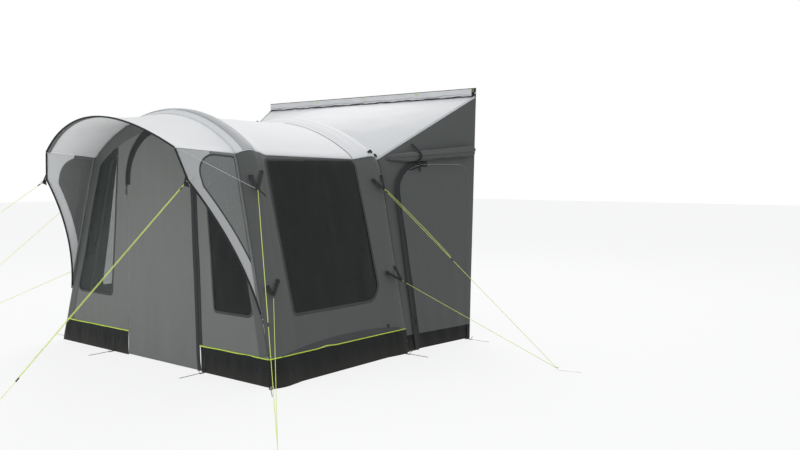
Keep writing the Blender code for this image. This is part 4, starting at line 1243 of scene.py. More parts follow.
@dataclass
class BodyShell:
    """Roof, side walls, their windows and the skirt along the sides."""

    shell: Shell
    window: tuple[tuple[float, float, float], ...] = (
        (0.32, 0.48, 0.04), (1.34, 0.48, 0.16), (1.295, 1.70, 0.04), (0.285, 1.70, 0.04))
    # Top edge of the painted shadow under the side wall's fold, as (y, z) seen from the side.
    fold: tuple[Point, ...] = ((0.10, 0.212), (0.188, 0.227), (0.45, 0.252), (0.723, 0.268),
                               (1.0, 0.266), (1.249, 0.257), (1.50, 0.234))

    def plan(self, y: float, z: float) -> Point:
        """Place on a side wall's cutting plan of a point seen from the side."""
        ahead = self.shell.front_y(z)
        start = self.shell.blend_in
        blend = ahead / (self.shell.depth - 2.0 * start)
        place = y - ahead
        if place > start:
            place = min(y, (y - ahead - start * blend) / (1.0 - blend))
        low = halve(2.0, 4.0, lambda at: self.shell.cloth(at, place).z > z)
        top = self.shell.front.length_to(4.0)
        return place, top - self.shell.front.length_to(low)

    def wall_place(self, side: Side) -> Place:
        """Gives the points of a side wall, with the folds that its pegging pulls into it."""
        front = self.shell.front
        top = front.length_to(4.0)

        def place(y: float, up: float) -> Vector:
            """Point of the outer face."""
            station = side.value * front.at_length(max(0.0, top - up))
            point = self.shell.cloth(station, y)
            quiet = min(1.0, up / 0.15, y / 0.1, (self.shell.depth - y) / 0.1)
            fold = crumple(Vector((y * 1.5, up * 0.5, side.value * 3.0)), 0.35, 0.005)
            drag = 0.004 * math.sin((y - 0.35 * up) * 21.0) * math.exp(-up * 3.0)
            return point + front.normal(station) * ((fold + drag) * quiet)

        return place

    def build(self) -> None:
        """Builds the roof and both sides."""
        self.build_roof()
        for side in Side:
            self.build_side(side)

    def build_roof(self) -> None:
        """Builds the roof cloth, with its ridges over the beams."""
        front = self.shell.front
        edge = front.length_to(2.0)

        def place(across: float, y: float) -> Vector:
            """Point of the roof's outer face."""
            station = front.at_length(across)
            point = self.shell.cloth(station, y)
            away = min(1.0, (edge - abs(across)) / 0.1)
            slack = math.sin(math.pi * clamp((y - 0.2) / 1.2)) * 0.006
            fold = crumple(Vector((across, y, 0.0)), 0.5, 0.003)
            tug = 0.0012 * math.sin(across * 60.0) * math.exp(-((y - 0.19) / 0.06) ** 2)
            return point + front.normal(station) * ((fold + tug - slack) * away)

        Cut((-edge, 0.0), (edge, self.shell.depth), 0.018).drape(
            "roof_cloth", "roof_panel", place, LIGHT, "stretched",
            ["beam_sleeve_front_cloth", "beam_sleeve_rear_cloth"])
        LOG.info("roof cloth")

    def build_side(self, side: Side) -> None:
        """Builds one wall, its window, its skirt and their seams.

        Args:
            side: Which wall.
        """
        word = side.word
        front = self.shell.front
        place = self.wall_place(side)
        hem = self.plan(0.0, self.shell.skirt_height)[1]
        top = front.length_to(4.0) - front.length_to(2.0)
        outline = [self.plan(y, z) for y, z in rounded(self.window)]
        wall = Cut((0.0, hem), (self.shell.depth, top - SEAM_GAP)).trim(outline, False)
        wall.drape(f"side_wall_cloth_{word}", f"side_wall_{word}", place, DARK_SIDE,
                   "stretched", [f"skirt_sheet_{word}"])

        def film(y: float, up: float) -> Vector:
            """Point of the film, a little under the wall, with its own slow buckles."""
            buckle = crumple(Vector((y, up * 0.6, side.value * 7.0)), 0.3, 0.004)
            return place(y, up) - Vector((side.value * (0.0012 - buckle * 0.4), 0.0, 0.0))

        Cut.around(outline).drape(
            f"side_window_film_{word}", f"side_window_{word}", film,
            FILM if side is Side.RIGHT else CLEAR_FILM, "stretched",
            [f"side_wall_cloth_{word}"], thickness=FILM_WALL)
        edges = (-0.016, 0.006) if side is Side.RIGHT else (-0.006, 0.016)
        Track([place(*spot) for spot in stepped(outline, True)], self.shell.facing(side)).tape(
            f"side_window_binding_{word}", edges, 0.0016, DARK_BINDING, crown=0.0004,
            cell=0.008)
        self.build_fold(side, place)
        self.build_skirt(side, hem)
        LOG.info("%s side wall, window and skirt", word)

    def build_fold(self, side: Side, place: Place) -> None:
        """Builds a dark sheet of painted shadow below the wall's fold, which swells over the
        skirt's piping, and its tab.

        Args:
            side: Which side.
            place: Gives the wall's points.
        """
        marks = [self.plan(y, z) for y, z in self.fold]
        hem = self.plan(0.0, self.shell.skirt_height)[1]
        lift = Vector((side.value * 0.0016, 0.0, 0.0004))

        def level(y: float) -> float:
            """Top of the painted shadow, where the fold lies, on the wall's plan."""
            for (low, first), (high, second) in zip(marks, marks[1:]):
                if y <= high:
                    return first + (second - first) * max(0.0, (y - low) / (high - low))
            return marks[-1][1]

        def fold_place(y: float, share: float) -> Vector:
            """Point of the painted shadow sheet's outer face."""
            swell = 0.004 * math.sin(math.pi * min(1.0, share))
            return (place(y, hem + 0.003 + (level(y) - hem - 0.003) * share)
                    + lift + Vector((side.value * swell, 0.0, 0.0)))

        low, high = marks[0][0], marks[-1][0]
        # Charcoal sheet where only the fold's shadow falls: painted shadow.
        Cut((low, 0.0), (high, 1.0), 0.03).hang(f"side_fold_{side.word}", fold_place, SLEEVE,
                                                thickness=0.0008)
        frame = stand(place(1.36, hem + 0.045), FRONT, UP)
        fit(f"side_fold_tab_{side.word}", bevelled_box((0.004, 0.022, 0.055), 0.0014),
            frame @ Matrix.Rotation(math.pi / 2, 4, "X"), BLACK_TAPE, PITCH)

    def build_skirt(self, side: Side, hem: float) -> None:
        """Builds the skirt along a side, with the piping over it and its wrinkles.

        Args:
            side: Which side.
            hem: The skirt's height on the plan.
        """
        word = side.word
        front = self.shell.front
        top = front.length_to(4.0)

        def place(y: float, up: float) -> Vector:
            """Point of the skirt's outer face."""
            station = side.value * front.at_length(max(0.0, top - up))
            point = self.shell.cloth(station, y)
            share = math.sin(math.pi * min(1.0, up / hem))
            fold = crumple(Vector((y, up * 0.3, side.value)), 0.09, 0.006) + 0.002
            return point + front.normal(station) * (fold * share)

        Cut((0.0, 0.0), (self.shell.depth, hem - 0.0006), 0.01).drape(
            f"skirt_sheet_{word}", f"skirt_side_{word}", place, GROUND_SHEET, "hung",
            [f"side_wall_cloth_{word}"])
        hug = self.wall_place(side)
        line = []
        for step in range(81):
            y = self.shell.depth * step / 80
            bump = 0.010 * math.exp(-((y - 0.60) / 0.06) ** 2)
            line.append(hug(y, hem + bump) + Vector((side.value * bump * 0.4, 0.0, 0.0)))
        Track(line, self.shell.facing(side)).tube(f"skirt_piping_{word}", SKIRT_PIPING_RADIUS,
                                                LIME_PIPING)


@dataclass
class FrontWall:
    """Front wall with its door, two windows, skirt and zips."""

    shell: Shell
    door_left: Point = (-0.38, -0.05)
    door_right: Point = (0.62, -0.10)
    door_top: float = 1.975
    door_corner: float = 0.44
    floor_gap: float = 0.008
    window_left: Point = (0.675, -0.03)
    window_right: Point = (0.833, -0.134)
    sill: float = 0.50
    border: float = 0.105
    slider_level: float = 1.48

    def door_edge(self, side: Side, height: float) -> float:
        """Place across of the door's left or right seam at a height."""
        foot, lean = self.door_left if side is Side.LEFT else self.door_right
        return foot + lean * height

    def door_outline(self, low: float) -> list[Point]:
        """Outline of the door, from a height up."""
        top, corner = self.door_top, self.door_corner
        corners = ((Side.LEFT, low, 0.0), (Side.RIGHT, low, 0.0), (Side.RIGHT, top, corner),
                   (Side.LEFT, top, corner))
        return rounded([(self.door_edge(side, height), height, radius)
                        for side, height, radius in corners], 24)

    def window_outline(self, side: Side) -> list[Point]:
        """Outline of a window: upright inner edge, sill, and an edge that follows the arch."""
        front = self.shell.front
        foot, lean = self.window_left if side is Side.LEFT else self.window_right

        def inset(station: float) -> Vector:
            """Point a border's width inside the arch."""
            return front.point(station) - front.normal(station) * self.border

        low = halve(2.0, 4.0, lambda at: inset(at).z >= self.sill)
        high = halve(0.1, 3.0, lambda at: inset(at).x - lean * inset(at).z < foot)
        corner, top = inset(low), inset(high)
        edge = [inset(low + (high - low) * step / 40) for step in range(2, 39)]
        outline = rounded([(foot + lean * self.sill, self.sill, 0.03),
                           (corner.x, corner.z, 0.05),
                           *((point.x, point.z, 0.0) for point in edge),
                           (top.x, top.z, 0.03)], 6)
        if side is Side.LEFT:
            outline = [(-x, z) for x, z in reversed(outline)]
        return outline

    def wall_place(self, x: float, z: float) -> Vector:
        """Point of the front wall's outer face, with the slack of hung cloth."""
        half = self.shell.front.half
        quiet = clamp((half - abs(x)) / 0.2, z / 0.1)
        slack = crumple(Vector((x * 1.4, 4.0, z * 0.45)), 0.32, 0.006)
        slack += 0.003 * math.sin(x * 17.0 + z * 2.0) * math.exp(-z * 1.6)
        return Vector((x, self.shell.front_y(z) + slack * quiet, z))

    def build(self) -> None:
        """Builds the wall, its windows, the door, the zips and the skirt."""
        self.build_wall()
        self.build_border()
        self.build_door()
        for side in Side:
            self.build_window(side)
            self.build_skirt(side)
        LOG.info("front wall, door, windows and skirt")

    def build_wall(self) -> None:
        """Builds the wall cloth round the door and the windows."""
        front = self.shell.front
        hem = self.shell.skirt_height
        stations = [4.0 * (step / 80 - 1.0) for step in range(161)]
        arch = [front.point(at) - front.normal(at) * 0.0035 for at in stations]
        outline = [(point.x, point.z) for point in reversed(arch) if point.z > hem]
        right = max(x for x, _ in outline) + 0.001
        wall = Cut((-front.half, hem), (front.half, front.apex))
        wall.trim([(-right, hem), (right, hem)] + outline)
        wall.trim(self.door_outline(-0.2), False)
        for side in Side:
            wall.trim(self.window_outline(side), False)
        wall.drape("front_wall_cloth", "front_wall", self.wall_place, GREY, "stretched",
                   ["roof_cloth"])

    def band(self, name: str, line: Track, edges: Point, finish: Finish,
             body: Body = Body.AWNING) -> bpy.types.Object:
        """Sews a flat band on the wall along a line, so that it follows the cloth's slack.

        Args:
            name: Name of the piece.
            line: Line on the wall.
            edges: Offsets of its two edges, to the right of the line seen from outside.
            finish: What it is made of.
            body: The body that it rides on.

        Returns:
            The piece.
        """
        def place(across: float, along: float) -> Vector:
            """Point of the band's outer face."""
            point, ahead, out = line.at(along)
            spot = point + ahead.cross(out) * across
            return self.wall_place(spot.x, spot.z) - Vector((0.0, 0.0024, 0.0))

        return Cut((edges[0], 0.0), (edges[1], line.length), 0.008).hang(
            name, place, finish, body)

    def build_border(self) -> None:
        """Builds the dark band that lines the arch, widest at the top."""
        front = self.shell.front
        edge = front.length_to(front.at_height(self.shell.skirt_height + 0.03))

        def place(along: float, inset: float) -> Vector:
            """Point of the band's outer face."""
            station = front.at_length(along)
            wide = 1.0 + 0.26 * max(0.0, 1.0 - (along / 1.2) ** 4)
            spot = front.point(station) - front.normal(station) * inset * wide
            return self.wall_place(spot.x, spot.z) - Vector((0.0, 0.0013, 0.0))

        Cut((-edge, 0.005), (edge, self.border - 0.004)).hang(
            "front_arch_band", place, DARK_SIDE, thickness=0.001)

    def build_door(self) -> None:
        """Builds the door leaf, with the zip tapes up its right side and over its top."""
        low = self.floor_gap
        seam = self.door_outline(low)
        leaf = Cut((-0.5, low), (0.64, self.door_top)).trim(grown(seam, -SEAM_GAP))
        leaf.drape("front_door_cloth", "front_door", self.wall_place, GREY, "hung",
                   ["front_wall_cloth"], Body.FRONT_DOOR)
        line = stepped([self.wall_place(x, z) for x, z in seam[1:] + seam[:1]])
        inner = [point for point in line if point.x > 0.0 or point.z > self.slider_level]
        outer = [point for point in inner if point.z > self.shell.skirt_height]
        for word, points, edges, body in (
                ("frame", outer, (0.0012, 0.032), Body.AWNING),
                ("leaf", inner, (-0.044, -0.0012), Body.FRONT_DOOR)):
            self.band(f"front_zip_{word}", Track(points, self.shell.ahead()), edges, ZIP, body)

    def build_window(self, side: Side) -> None:
        """Builds the film of one window and the binding round it.

        Args:
            side: Which window.
        """
        outline = self.window_outline(side)

        def film(x: float, z: float) -> Vector:
            """Point of the film."""
            buckle = crumple(Vector((x, 2.0, z * 0.6)), 0.25, 0.004)
            return self.wall_place(x, z) + Vector((0.0, 0.0012 + buckle * 0.4, 0.0))

        Cut.around(outline).drape(
            f"front_window_film_{side.word}", f"front_window_{side.word}", film,
            FILM if side is Side.RIGHT else CLEAR_FILM, "stretched", ["front_wall_cloth"],
            thickness=FILM_WALL)
        line = [self.wall_place(*spot) for spot in stepped(outline, True)]
        Track(line, self.shell.ahead()).tape(f"front_window_binding_{side.word}",
                                             (-0.006, 0.014), 0.0016, DARK_BINDING,
                                             crown=0.0004, cell=0.008)

    def build_skirt(self, side: Side) -> None:
        """Builds the front skirt on one side of the door, with its piping.

        Args:
            side: Which side of the door.
        """
        word = side.word
        hem = self.shell.skirt_height
        front = self.shell.front
        low = [(self.door_edge(side, 0.0), 0.0), (self.door_edge(side, hem), hem)]
        clear = 0.0036 * math.hypot(1.0, front.lean)
        high = [(side.value * (front.half - front.lean * hem - clear), hem),
                (side.value * (front.half - clear), 0.0)]
        outline = low + high
        if side is Side.LEFT:
            outline.reverse()

        def place(x: float, z: float) -> Vector:
            """Point of the skirt's outer face."""
            share = math.sin(math.pi * clamp(z / hem))
            fold = crumple(Vector((x, 0.0, z * 0.3)), 0.09, 0.006) + 0.002
            return Vector((x, self.shell.front_y(z) - fold * share, z))

        across = [x for x, _ in outline]
        skirt = Cut((min(across), 0.0), (max(across), hem - 0.0006), 0.01)
        skirt.trim([(x, min(z, hem - 0.0003)) for x, z in outline]).drape(
            f"front_skirt_sheet_{word}", f"skirt_front_{word}", place, GROUND_SHEET, "hung",
            ["front_wall_cloth"])
        line = [self.wall_place(low[1][0] + (high[0][0] - low[1][0]) * step / 50, hem)
                for step in range(51)]
        Track(line, FRONT).tube(f"front_skirt_piping_{word}", SKIRT_PIPING_RADIUS, LIME_PIPING)


@dataclass
class Hood:
    """Hood over the door, its two wings with their windows, and the sprung poles."""

    shell: Shell
    border: float = 0.09
    window_foot: float = 0.86
    window_corner: float = 0.15
    seam_border: float = 0.02
    top_border: float = 0.03

    def build(self) -> None:
        """Builds the hood cloth, the wings and the poles."""
        front = self.shell.front
        edge = front.length_to(2.0)

        def place(across: float, ahead: float) -> Vector:
            """Point of the hood's upper face."""
            station = front.at_length(across)
            share = ahead / self.shell.brow_reach
            point = self.shell.hood(station, share)
            quiet = min(1.0, share / 0.12, (1.0 - share) / 0.12, (edge - abs(across)) / 0.1)
            fold = crumple(Vector((across, ahead, 9.0)), 0.4, 0.004)
            tug = 0.0015 * math.sin(across * 48.0) * math.exp(-((share - 0.97) / 0.12) ** 2)
            return point + front.normal(station) * (fold * quiet + tug)

        # Underside in the paler cloth of painted light, top in the roof's cloth.
        Cut((-edge, 0.0), (edge, self.shell.brow_reach), 0.018).drape(
            "hood_cloth", "hood_panel", place, PAINTED_LIGHT_CLOTH, "stretched", ["roof_cloth"],
            back=LIGHT)
        for side in Side:
            self.build_wing(side)
        self.build_brow()
        LOG.info("hood, wings and brow")

    def at(self, side: Side, y: float, z: float) -> Vector:
        """Point of a wing seen from the side, y behind the front wall's foot and z up."""
        def share(station: float) -> float:
            """Share of the way to the wing's leg."""
            near, far = (self.shell.wing(side, station, end).y for end in (0.0, 1.0))
            return clamp((y - near) / (far - near)) if far - near < -1e-5 else 0.0

        station = halve(2.0, 4.0, lambda at: self.shell.wing(side, at, share(at)).z > z)
        return self.shell.wing(side, station, share(station))

    def leg(self, inset: float, low: float, high: float) -> list[Point]:
        """Line behind the wing's front edge, between two heights, as (y, z)."""
        legs = [self.shell.brow(2.0 + step / 120.0) for step in range(240)]
        points = [(leg.y + inset, leg.z) for leg in legs if low <= leg.z <= high]
        return points[::max(1, len(points) // 24)] + [points[-1]]

    def build_wing(self, side: Side) -> None:
        """Builds a wing, its window with the binding round it, and the tapes over its seams.

        Args:
            side: Which wing.
        """
        word, shell = side.word, self.shell
        top, peak, foot = shell.front.point(2.0).z, shell.corner[2], shell.wing_foot
        outline = [(shell.front_y(foot) - 0.0005, foot + 0.002),
                   (shell.front_y(top - 0.0005) - 0.0005, top - 0.0005),
                   *self.leg(0.0005, foot + 0.004, peak - 0.0005)]
        low, seam = self.window_foot + 0.03, top - self.top_border
        legs = self.leg(self.border, low, shell.knee[2] - 0.04)
        window = rounded([(shell.front_y(low) - self.seam_border, low, 0.0),
                          (shell.front_y(seam) - self.seam_border, seam, 0.02),
                          (shell.knee[1] + self.border, peak - self.top_border,
                           self.window_corner),
                          *((y, z, 0.0) for y, z in legs)], 12)[::-1]

        def place(y: float, z: float) -> Vector:
            """Point of the wing's outer face."""
            fold = crumple(Vector((side.value, y, z * 0.4)), 0.3, 0.003)
            quiet = clamp((-y - 0.01) / 0.08)
            return self.at(side, y, z) + Vector((side.value * fold * quiet, 0.0, 0.0))

        def film(y: float, z: float) -> Vector:
            """Point of the film."""
            return place(y, z) - Vector((side.value * 0.0012, 0.0, 0.0))

        # Outer faces grey, as painted shade; inner faces pale, as painted light through the cloth.
        faces = (GREY_TAB_AND_WING_SHADE, PAINTED_LIGHT_CLOTH) if side is Side.RIGHT else (PAINTED_LIGHT_CLOTH, GREY_TAB_AND_WING_SHADE)
        Cut.around(outline[::-1]).trim(window, False).drape(
            f"wing_cloth_{word}", f"wing_{word}", place, faces[0], "stretched",
            ["hood_cloth"], back=faces[1])
        Cut.around(window).drape(
            f"wing_window_film_{word}", f"wing_window_{word}", film, PALE_FILM, "stretched",
            [f"wing_cloth_{word}"], thickness=FILM_WALL)
        edges = (-0.003, 0.009) if side is Side.LEFT else (-0.009, 0.003)
        Track([place(*spot) for spot in stepped(window, True)], shell.facing(side)).tape(
            f"wing_window_binding_{word}", edges, 0.0014, DARK_BINDING, crown=0.0003,
            cell=0.006)
        self.cover_seams(side, place)

    def cover_seams(self, side: Side, place: Place) -> None:
        """Covers a wing's seams to the body and to the hood with grey tapes.

        Args:
            side: Which wing.
            place: Gives the wing's points.
        """
        shell = self.shell
        top = shell.front.point(2.0).z
        foot = shell.wing_foot + 0.04
        levels = [foot + (top - 0.01 - foot) * step / 40 for step in range(41)]
        rear = [place(shell.front_y(z) - 0.0125, z) for z in levels]
        upper = []
        for step in range(31):
            y = shell.front_y(top) - 0.002 - 0.23 * step / 30
            share = (y - shell.front_y(top)) / (shell.corner[1] - shell.front_y(top))
            upper.append(place(y, top - 0.018 + (shell.corner[2] - top) * share))
        for face, lift in (("outer", 0.003), ("inner", -0.0026)):
            for word, line, half in (("rear", rear, 0.0125), ("upper", upper, 0.0145)):
                Track(line, shell.facing(side)).tape(
                    f"wing_{word}_tape_{face}_{side.word}", (-half, half), lift, GREY_TAPE,
                    cell=0.01)

    def pole_point(self, station: float) -> Vector:
        """Middle of the pole ahead of the brow."""
        leg = (self.shell.brow(3.0) - self.shell.brow(2.5)).normalized()
        return self.shell.brow(station) - Vector((0.0, 0.0065 / math.sqrt(1.0 - leg.y ** 2),
                                                  0.0))

    def build_brow(self) -> None:
        """Builds the pole's two halves and the bound pocket that holds them."""
        runs = (("wing", [2.02 + step * 0.02 for step in range(98)]),
                ("brow", [step * 0.05 for step in range(40)]))
        for side in Side:
            stations = [4.0 - step * 0.05 for step in range(81)]
            points = [self.pole_point(side.value * max(0.0, at)) for at in stations]
            pole = Track(points, FRONT).tube(f"brow_pole_rod_{side.word}", 0.0055, GLASS_FIBRE,
                                             step=0.03)
            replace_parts(pole, f"brow_pole_{side.word}")
            for word, run in runs:
                self.bind(side, run, f"{word}_edge_binding_{side.word}")
        line = [self.shell.hood(-1.98 + step * 0.066, 0.968) - UP * 0.0045
                for step in range(61)]
        Track(line, -UP).tape("brow_hem_tape", (-0.014, 0.014), 0.0, GREY_TAPE, cell=0.008)

    def bind(self, side: Side, stations: Sequence[float], name: str) -> None:
        """Folds a binding tape round the pole along a run of the brow.

        Args:
            side: Which half.
            stations: Places along the brow.
            name: Name of the piece.
        """
        track = Track([self.pole_point(side.value * at) for at in stations], FRONT)
        radius = 0.0066
        bend = 0.5 * math.pi * radius

        def place(turn: float, along: float) -> Vector:
            """Point of the binding, from behind the pole round its front."""
            point, ahead, out = track.at(along)
            angle = math.copysign(min(abs(turn), bend), turn) / radius
            rim = out * math.cos(angle) + ahead.cross(out) * math.sin(angle)
            return point + rim * radius - out * max(0.0, abs(turn) - bend)

        reach = bend + 0.006
        Cut((-reach, 0.0), (reach, track.length), 0.006).hang(name, place, BLACK_TAPE,
                                                               thickness=0.001)


@dataclass
class Beams:
    """The two air beams in their zipped sleeves, with a valve on the right leg of each.

    A valve's neck and cap are given by their radii at the foot and the top, and their height.
    """

    shell: Shell
    flange: float = 0.022
    neck: Point3 = (0.0165, 0.0155, 0.0078)
    cap: Point3 = (0.0186, 0.0176, 0.0135)

    def track(self, behind: float, stations: Sequence[float]) -> Track:
        """Middle line of a beam.

        Args:
            behind: Its distance behind the front wall.
            stations: Places along it, which end on the ground.

        Returns:
            The line, with its outward direction.
        """
        points = [self.shell.beam(at, behind) for at in stations]
        for end in (0, -1):
            points[end] = self.shell.slide_to(points[end], stations[end], 0.0)
        return Track(points, [self.shell.front.normal(at) for at in stations])

    def build(self) -> None:
        """Builds both beams."""
        stations = [-4.0 + step * 0.05 for step in range(161)]
        rear = self.shell.depth - self.shell.beam_setback
        for word, behind in (("front", self.shell.beam_setback), ("rear", rear)):
            self.build_sleeve(word, behind, stations)
            self.build_valve(word, behind)
        LOG.info("air beams")

    def build_sleeve(self, word: str, behind: float, stations: Sequence[float]) -> None:
        """Builds one sleeve, creased where it bends, with its zip.

        Args:
            word: Name of the beam.
            behind: Its distance behind the front wall.
            stations: Places along it.
        """
        track = self.track(behind, stations)
        radius = self.shell.beam_radius
        length = track.length
        bend = self.shell.front.length_to(2.3)

        def place(turn: float, share: float) -> Vector:
            """Point of the sleeve's face."""
            along = share * length
            point, ahead, out = track.at(along)
            near = math.exp(-((abs(along - length / 2) - bend) / 0.14) ** 2)
            crease = -0.0035 * near * max(0.0, -math.sin(turn)) * (1.0 + math.sin(along * 170.0))
            rim = ahead.cross(out) * math.cos(turn) + out * math.sin(turn)
            slack = crumple(point + rim * 0.2, 0.16, 0.0012) - 0.0012
            spot = point + rim * (radius - 0.0006 + crease + slack)
            spot.z = max(0.0, spot.z)
            return spot

        mesh = wrapped(40, round(length / 0.014), (TURN * radius, length), place, 1e-5)
        sleeve = publish(f"beam_sleeve_{word}_cloth", mesh, SLEEVE)
        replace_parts(sleeve, f"beam_sleeve_{word}", f"beam_bladder_{word}")
        run = stations[6:-6]
        Track([self.shell.beam(at, behind, -radius) for at in run],
              [self.shell.front.normal(at) * -1.0 for at in run]).tape(
            f"beam_zip_{word}", (-0.014, 0.014), 0.0012, ZIP, cell=0.009, crown=-0.0006)

    def build_valve(self, word: str, behind: float) -> None:
        """Builds a valve's flange, its body and its ribbed screw cap.

        Args:
            word: Name of the beam.
            behind: Its distance behind the front wall.
        """
        low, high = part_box(f"valve_cap_{word}")
        centre = (low + high) / 2
        low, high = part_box(f"valve_{word}")
        inward = (centre - (low + high) / 2).normalized()
        flange = bmesh.new()
        bmesh.ops.create_circle(flange, cap_ends=True, segments=40,
                                 radius=self.flange)
        made = bmesh.ops.extrude_face_region(flange, geom=flange.faces[:])
        top = [part for part in made["geom"] if isinstance(part, bmesh.types.BMVert)]
        bmesh.ops.translate(flange, verts=top, vec=(0.0, 0.0, 0.0045))
        rim = [edge for edge in flange.edges if all(vert in top for vert in edge.verts)]
        bmesh.ops.bevel(flange, geom=rim, offset=0.0015, segments=3, affect="EDGES",
                        profile=0.5, material=-1)
        neck = bmesh.new()
        bmesh.ops.create_cone(neck, cap_ends=True, segments=32, radius1=self.neck[0],
                              radius2=self.neck[1], depth=self.neck[2])
        body = merge([(flange, Matrix()), (neck, Matrix.Translation((0.0, 0.0, 0.0081)))])
        smooth_faces(body)
        valve = fit(f"valve_body_{word}", body,
                    stand((low + high) / 2 - inward * 0.006, inward, UP), MOULDING)
        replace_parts(valve, f"valve_{word}")
        cap = bmesh.new()
        bmesh.ops.create_cone(cap, cap_ends=True, segments=48, radius1=self.cap[0],
                              radius2=self.cap[1], depth=self.cap[2])
        sides = [face for face in cap.faces if len(face.verts) == 4]
        bmesh.ops.inset_individual(cap, faces=sides[::2], thickness=0.0003, depth=0.0006)
        grip = bevelled_box((0.027, 0.0045, 0.004), 0.0012)
        whole = merge([(cap, Matrix()), (grip, Matrix.Translation((0.0, 0.0, 0.0076)))])
        smooth_faces(whole)
        screw = fit(f"valve_screw_cap_{word}", whole, stand(centre, inward, UP), MOULDING)
        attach(screw, f"valve_cap_{word}")
        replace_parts(screw, f"valve_cap_{word}")


@dataclass
class Tunnel:
    """Tunnel from the rear arch to the vehicle, with its doors, roll and strip."""

    shell: Shell
    inset: float = 0.13
    width: float = 0.62
    top: float = 1.67
    corner: float = 0.26
    strip_height: float = 0.08
    skirt_height: float = 0.14
    flap_height: float = 0.05

    def wall_place(self, side: Side) -> Place:
        """Gives the points of a wall's outer face, with its hanging folds."""
        near = self.shell.depth

        def place(y: float, z: float) -> Vector:
            """Point of the outer face."""
            share = (y - near) / TUNNEL_DEPTH
            quiet = clamp(share / 0.08, (1.0 - share) / 0.08, z / 0.05)
            fold = crumple(Vector((y * 1.7, z * 0.35, side.value * 5.0)), 0.22, 0.006)
            drag = 0.003 * math.sin(y * 34.0 + z * 3.0) * math.exp(-z * 0.9)
            return self.shell.tunnel_at(side, y, max(0.0, z), (fold + drag) * quiet)

        return place

    def door_outline(self, low: float) -> list[Point]:
        """Outline of a tunnel door from a height up, as (y, z)."""
        near = self.shell.depth + self.inset
        far = near + self.width
        return rounded([(near, low, 0.0), (far, low, 0.0), (far, self.top, self.corner / 4),
                        (near, self.top, self.corner)], 12)

    def build(self) -> None:
        """Builds the roof, both walls and doors, the roll and the strip."""
        self.build_roof()
        for side in Side:
            self.build_wall(side)
        self.build_roll()
        self.build_strip()
        LOG.info("tunnel")

    def build_roof(self) -> None:
        """Builds the tunnel's roof cloth."""
        rear = self.shell.rear
        edge = rear.length_to(2.0)

        def place(across: float, behind: float) -> Vector:
            """Point of the roof's outer face."""
            station = rear.at_length(across)
            share = behind / TUNNEL_DEPTH
            quiet = clamp(share / 0.1, (1.0 - share) / 0.1, (edge - abs(across)) / 0.1)
            fold = crumple(Vector((across, behind, 4.0)), 0.35, 0.007)
            return self.shell.tunnel_roof(station, share, fold * quiet)

        Cut((-edge, 0.0), (edge, TUNNEL_DEPTH), 0.018).drape(
            "tunnel_roof_cloth", "tunnel_roof", place, LIGHT, "stretched", ["roof_cloth"])

    def build_wall(self, side: Side) -> None:
        """Builds one wall, its door and the zip between them.

        Args:
            side: Which wall.
        """
        word = side.word
        shell = self.shell
        place = self.wall_place(side)
        near, far = shell.depth + SEAM_GAP, shell.depth + TUNNEL_DEPTH
        outline = [(near, 0.0), (far - TUNNEL_FOOT_SHORT, 0.0), (far, STRIP_FOOT - 0.001),
                   (near, shell.rear.point(2.0).z - 0.001)]
        wall = Cut((near, 0.0), (far, STRIP_FOOT)).trim(outline)
        wall.trim(self.door_outline(-0.1), False)
        wall.drape(f"tunnel_wall_cloth_{word}", f"tunnel_wall_{word}", place, DARK_SIDE,
                   "stretched", ["tunnel_roof_cloth"])
        body = Body.TUNNEL_DOOR_LEFT if side is Side.LEFT else Body.TUNNEL_DOOR_RIGHT
        leaf = Cut((near + 0.12, 0.008), (near + 0.76, self.top))
        leaf.trim(grown(self.door_outline(0.008), -SEAM_GAP)).drape(
            f"tunnel_door_cloth_{word}", f"tunnel_door_{word}", place, DARK_SIDE, "hung",
            [f"tunnel_wall_cloth_{word}"], body)
        self.build_zip(side, body)
        self.build_skirt(side, body)

    def build_skirt(self, side: Side, body: Body) -> None:
        """Builds the black band along a wall's foot: ahead of the door, on it and behind it.

        Args:
            side: Which wall.
            body: The door's body.
        """
        wall = self.wall_place(side)
        near, far = self.shell.depth, self.shell.depth + TUNNEL_DEPTH - TUNNEL_FOOT_SHORT
        seam = near + self.inset
        lift = Vector((side.value * 0.0016, 0.0, 0.0))

        def place(y: float, z: float) -> Vector:
            """Point of the band's outer face."""
            return wall(y, z) + lift

        for word, low, high, rider in (
                ("front", near + 0.001, seam - 0.0006, Body.AWNING),
                ("door", seam + 0.0006, seam + self.width - 0.0006, body),
                ("rear", seam + self.width + 0.0006, far, Body.AWNING)):
            part = "door" if rider is body else "wall"
            Cut((low, 0.009), (high, self.skirt_height)).drape(
                f"tunnel_skirt_{word}_{side.word}", None, place, GROUND_SHEET, "hung",
                [f"tunnel_{part}_cloth_{side.word}"], rider)

    def build_zip(self, side: Side, body: Body) -> None:
        """Builds the curved zip bands beside a tunnel door's front and top seams.

        Args:
            side: Which wall.
            body: The door's body.
        """
        near = self.shell.depth + self.inset
        spots = sorted((y, z) for y, z in self.door_outline(0.01)
                       if y < near + 0.27 and (z > 0.011 or y < near + 0.01))
        line = [self.shell.tunnel_at(side, *spot, 0.001) for spot in stepped(spots)]
        track = Track(line, Vector((side.value, 0.0, 0.15)).normalized())
        for word, low, high, rider in (("frame", -0.06, -0.0012, Body.AWNING),
                                       ("leaf", 0.0012, 0.022, body)):
            edges = (low, high) if side is Side.RIGHT else (-high, -low)
            track.tape(f"tunnel_zip_{word}_{side.word}", edges, 0.002, ZIP, rider, cell=0.009,
                       pucker=0.0006)

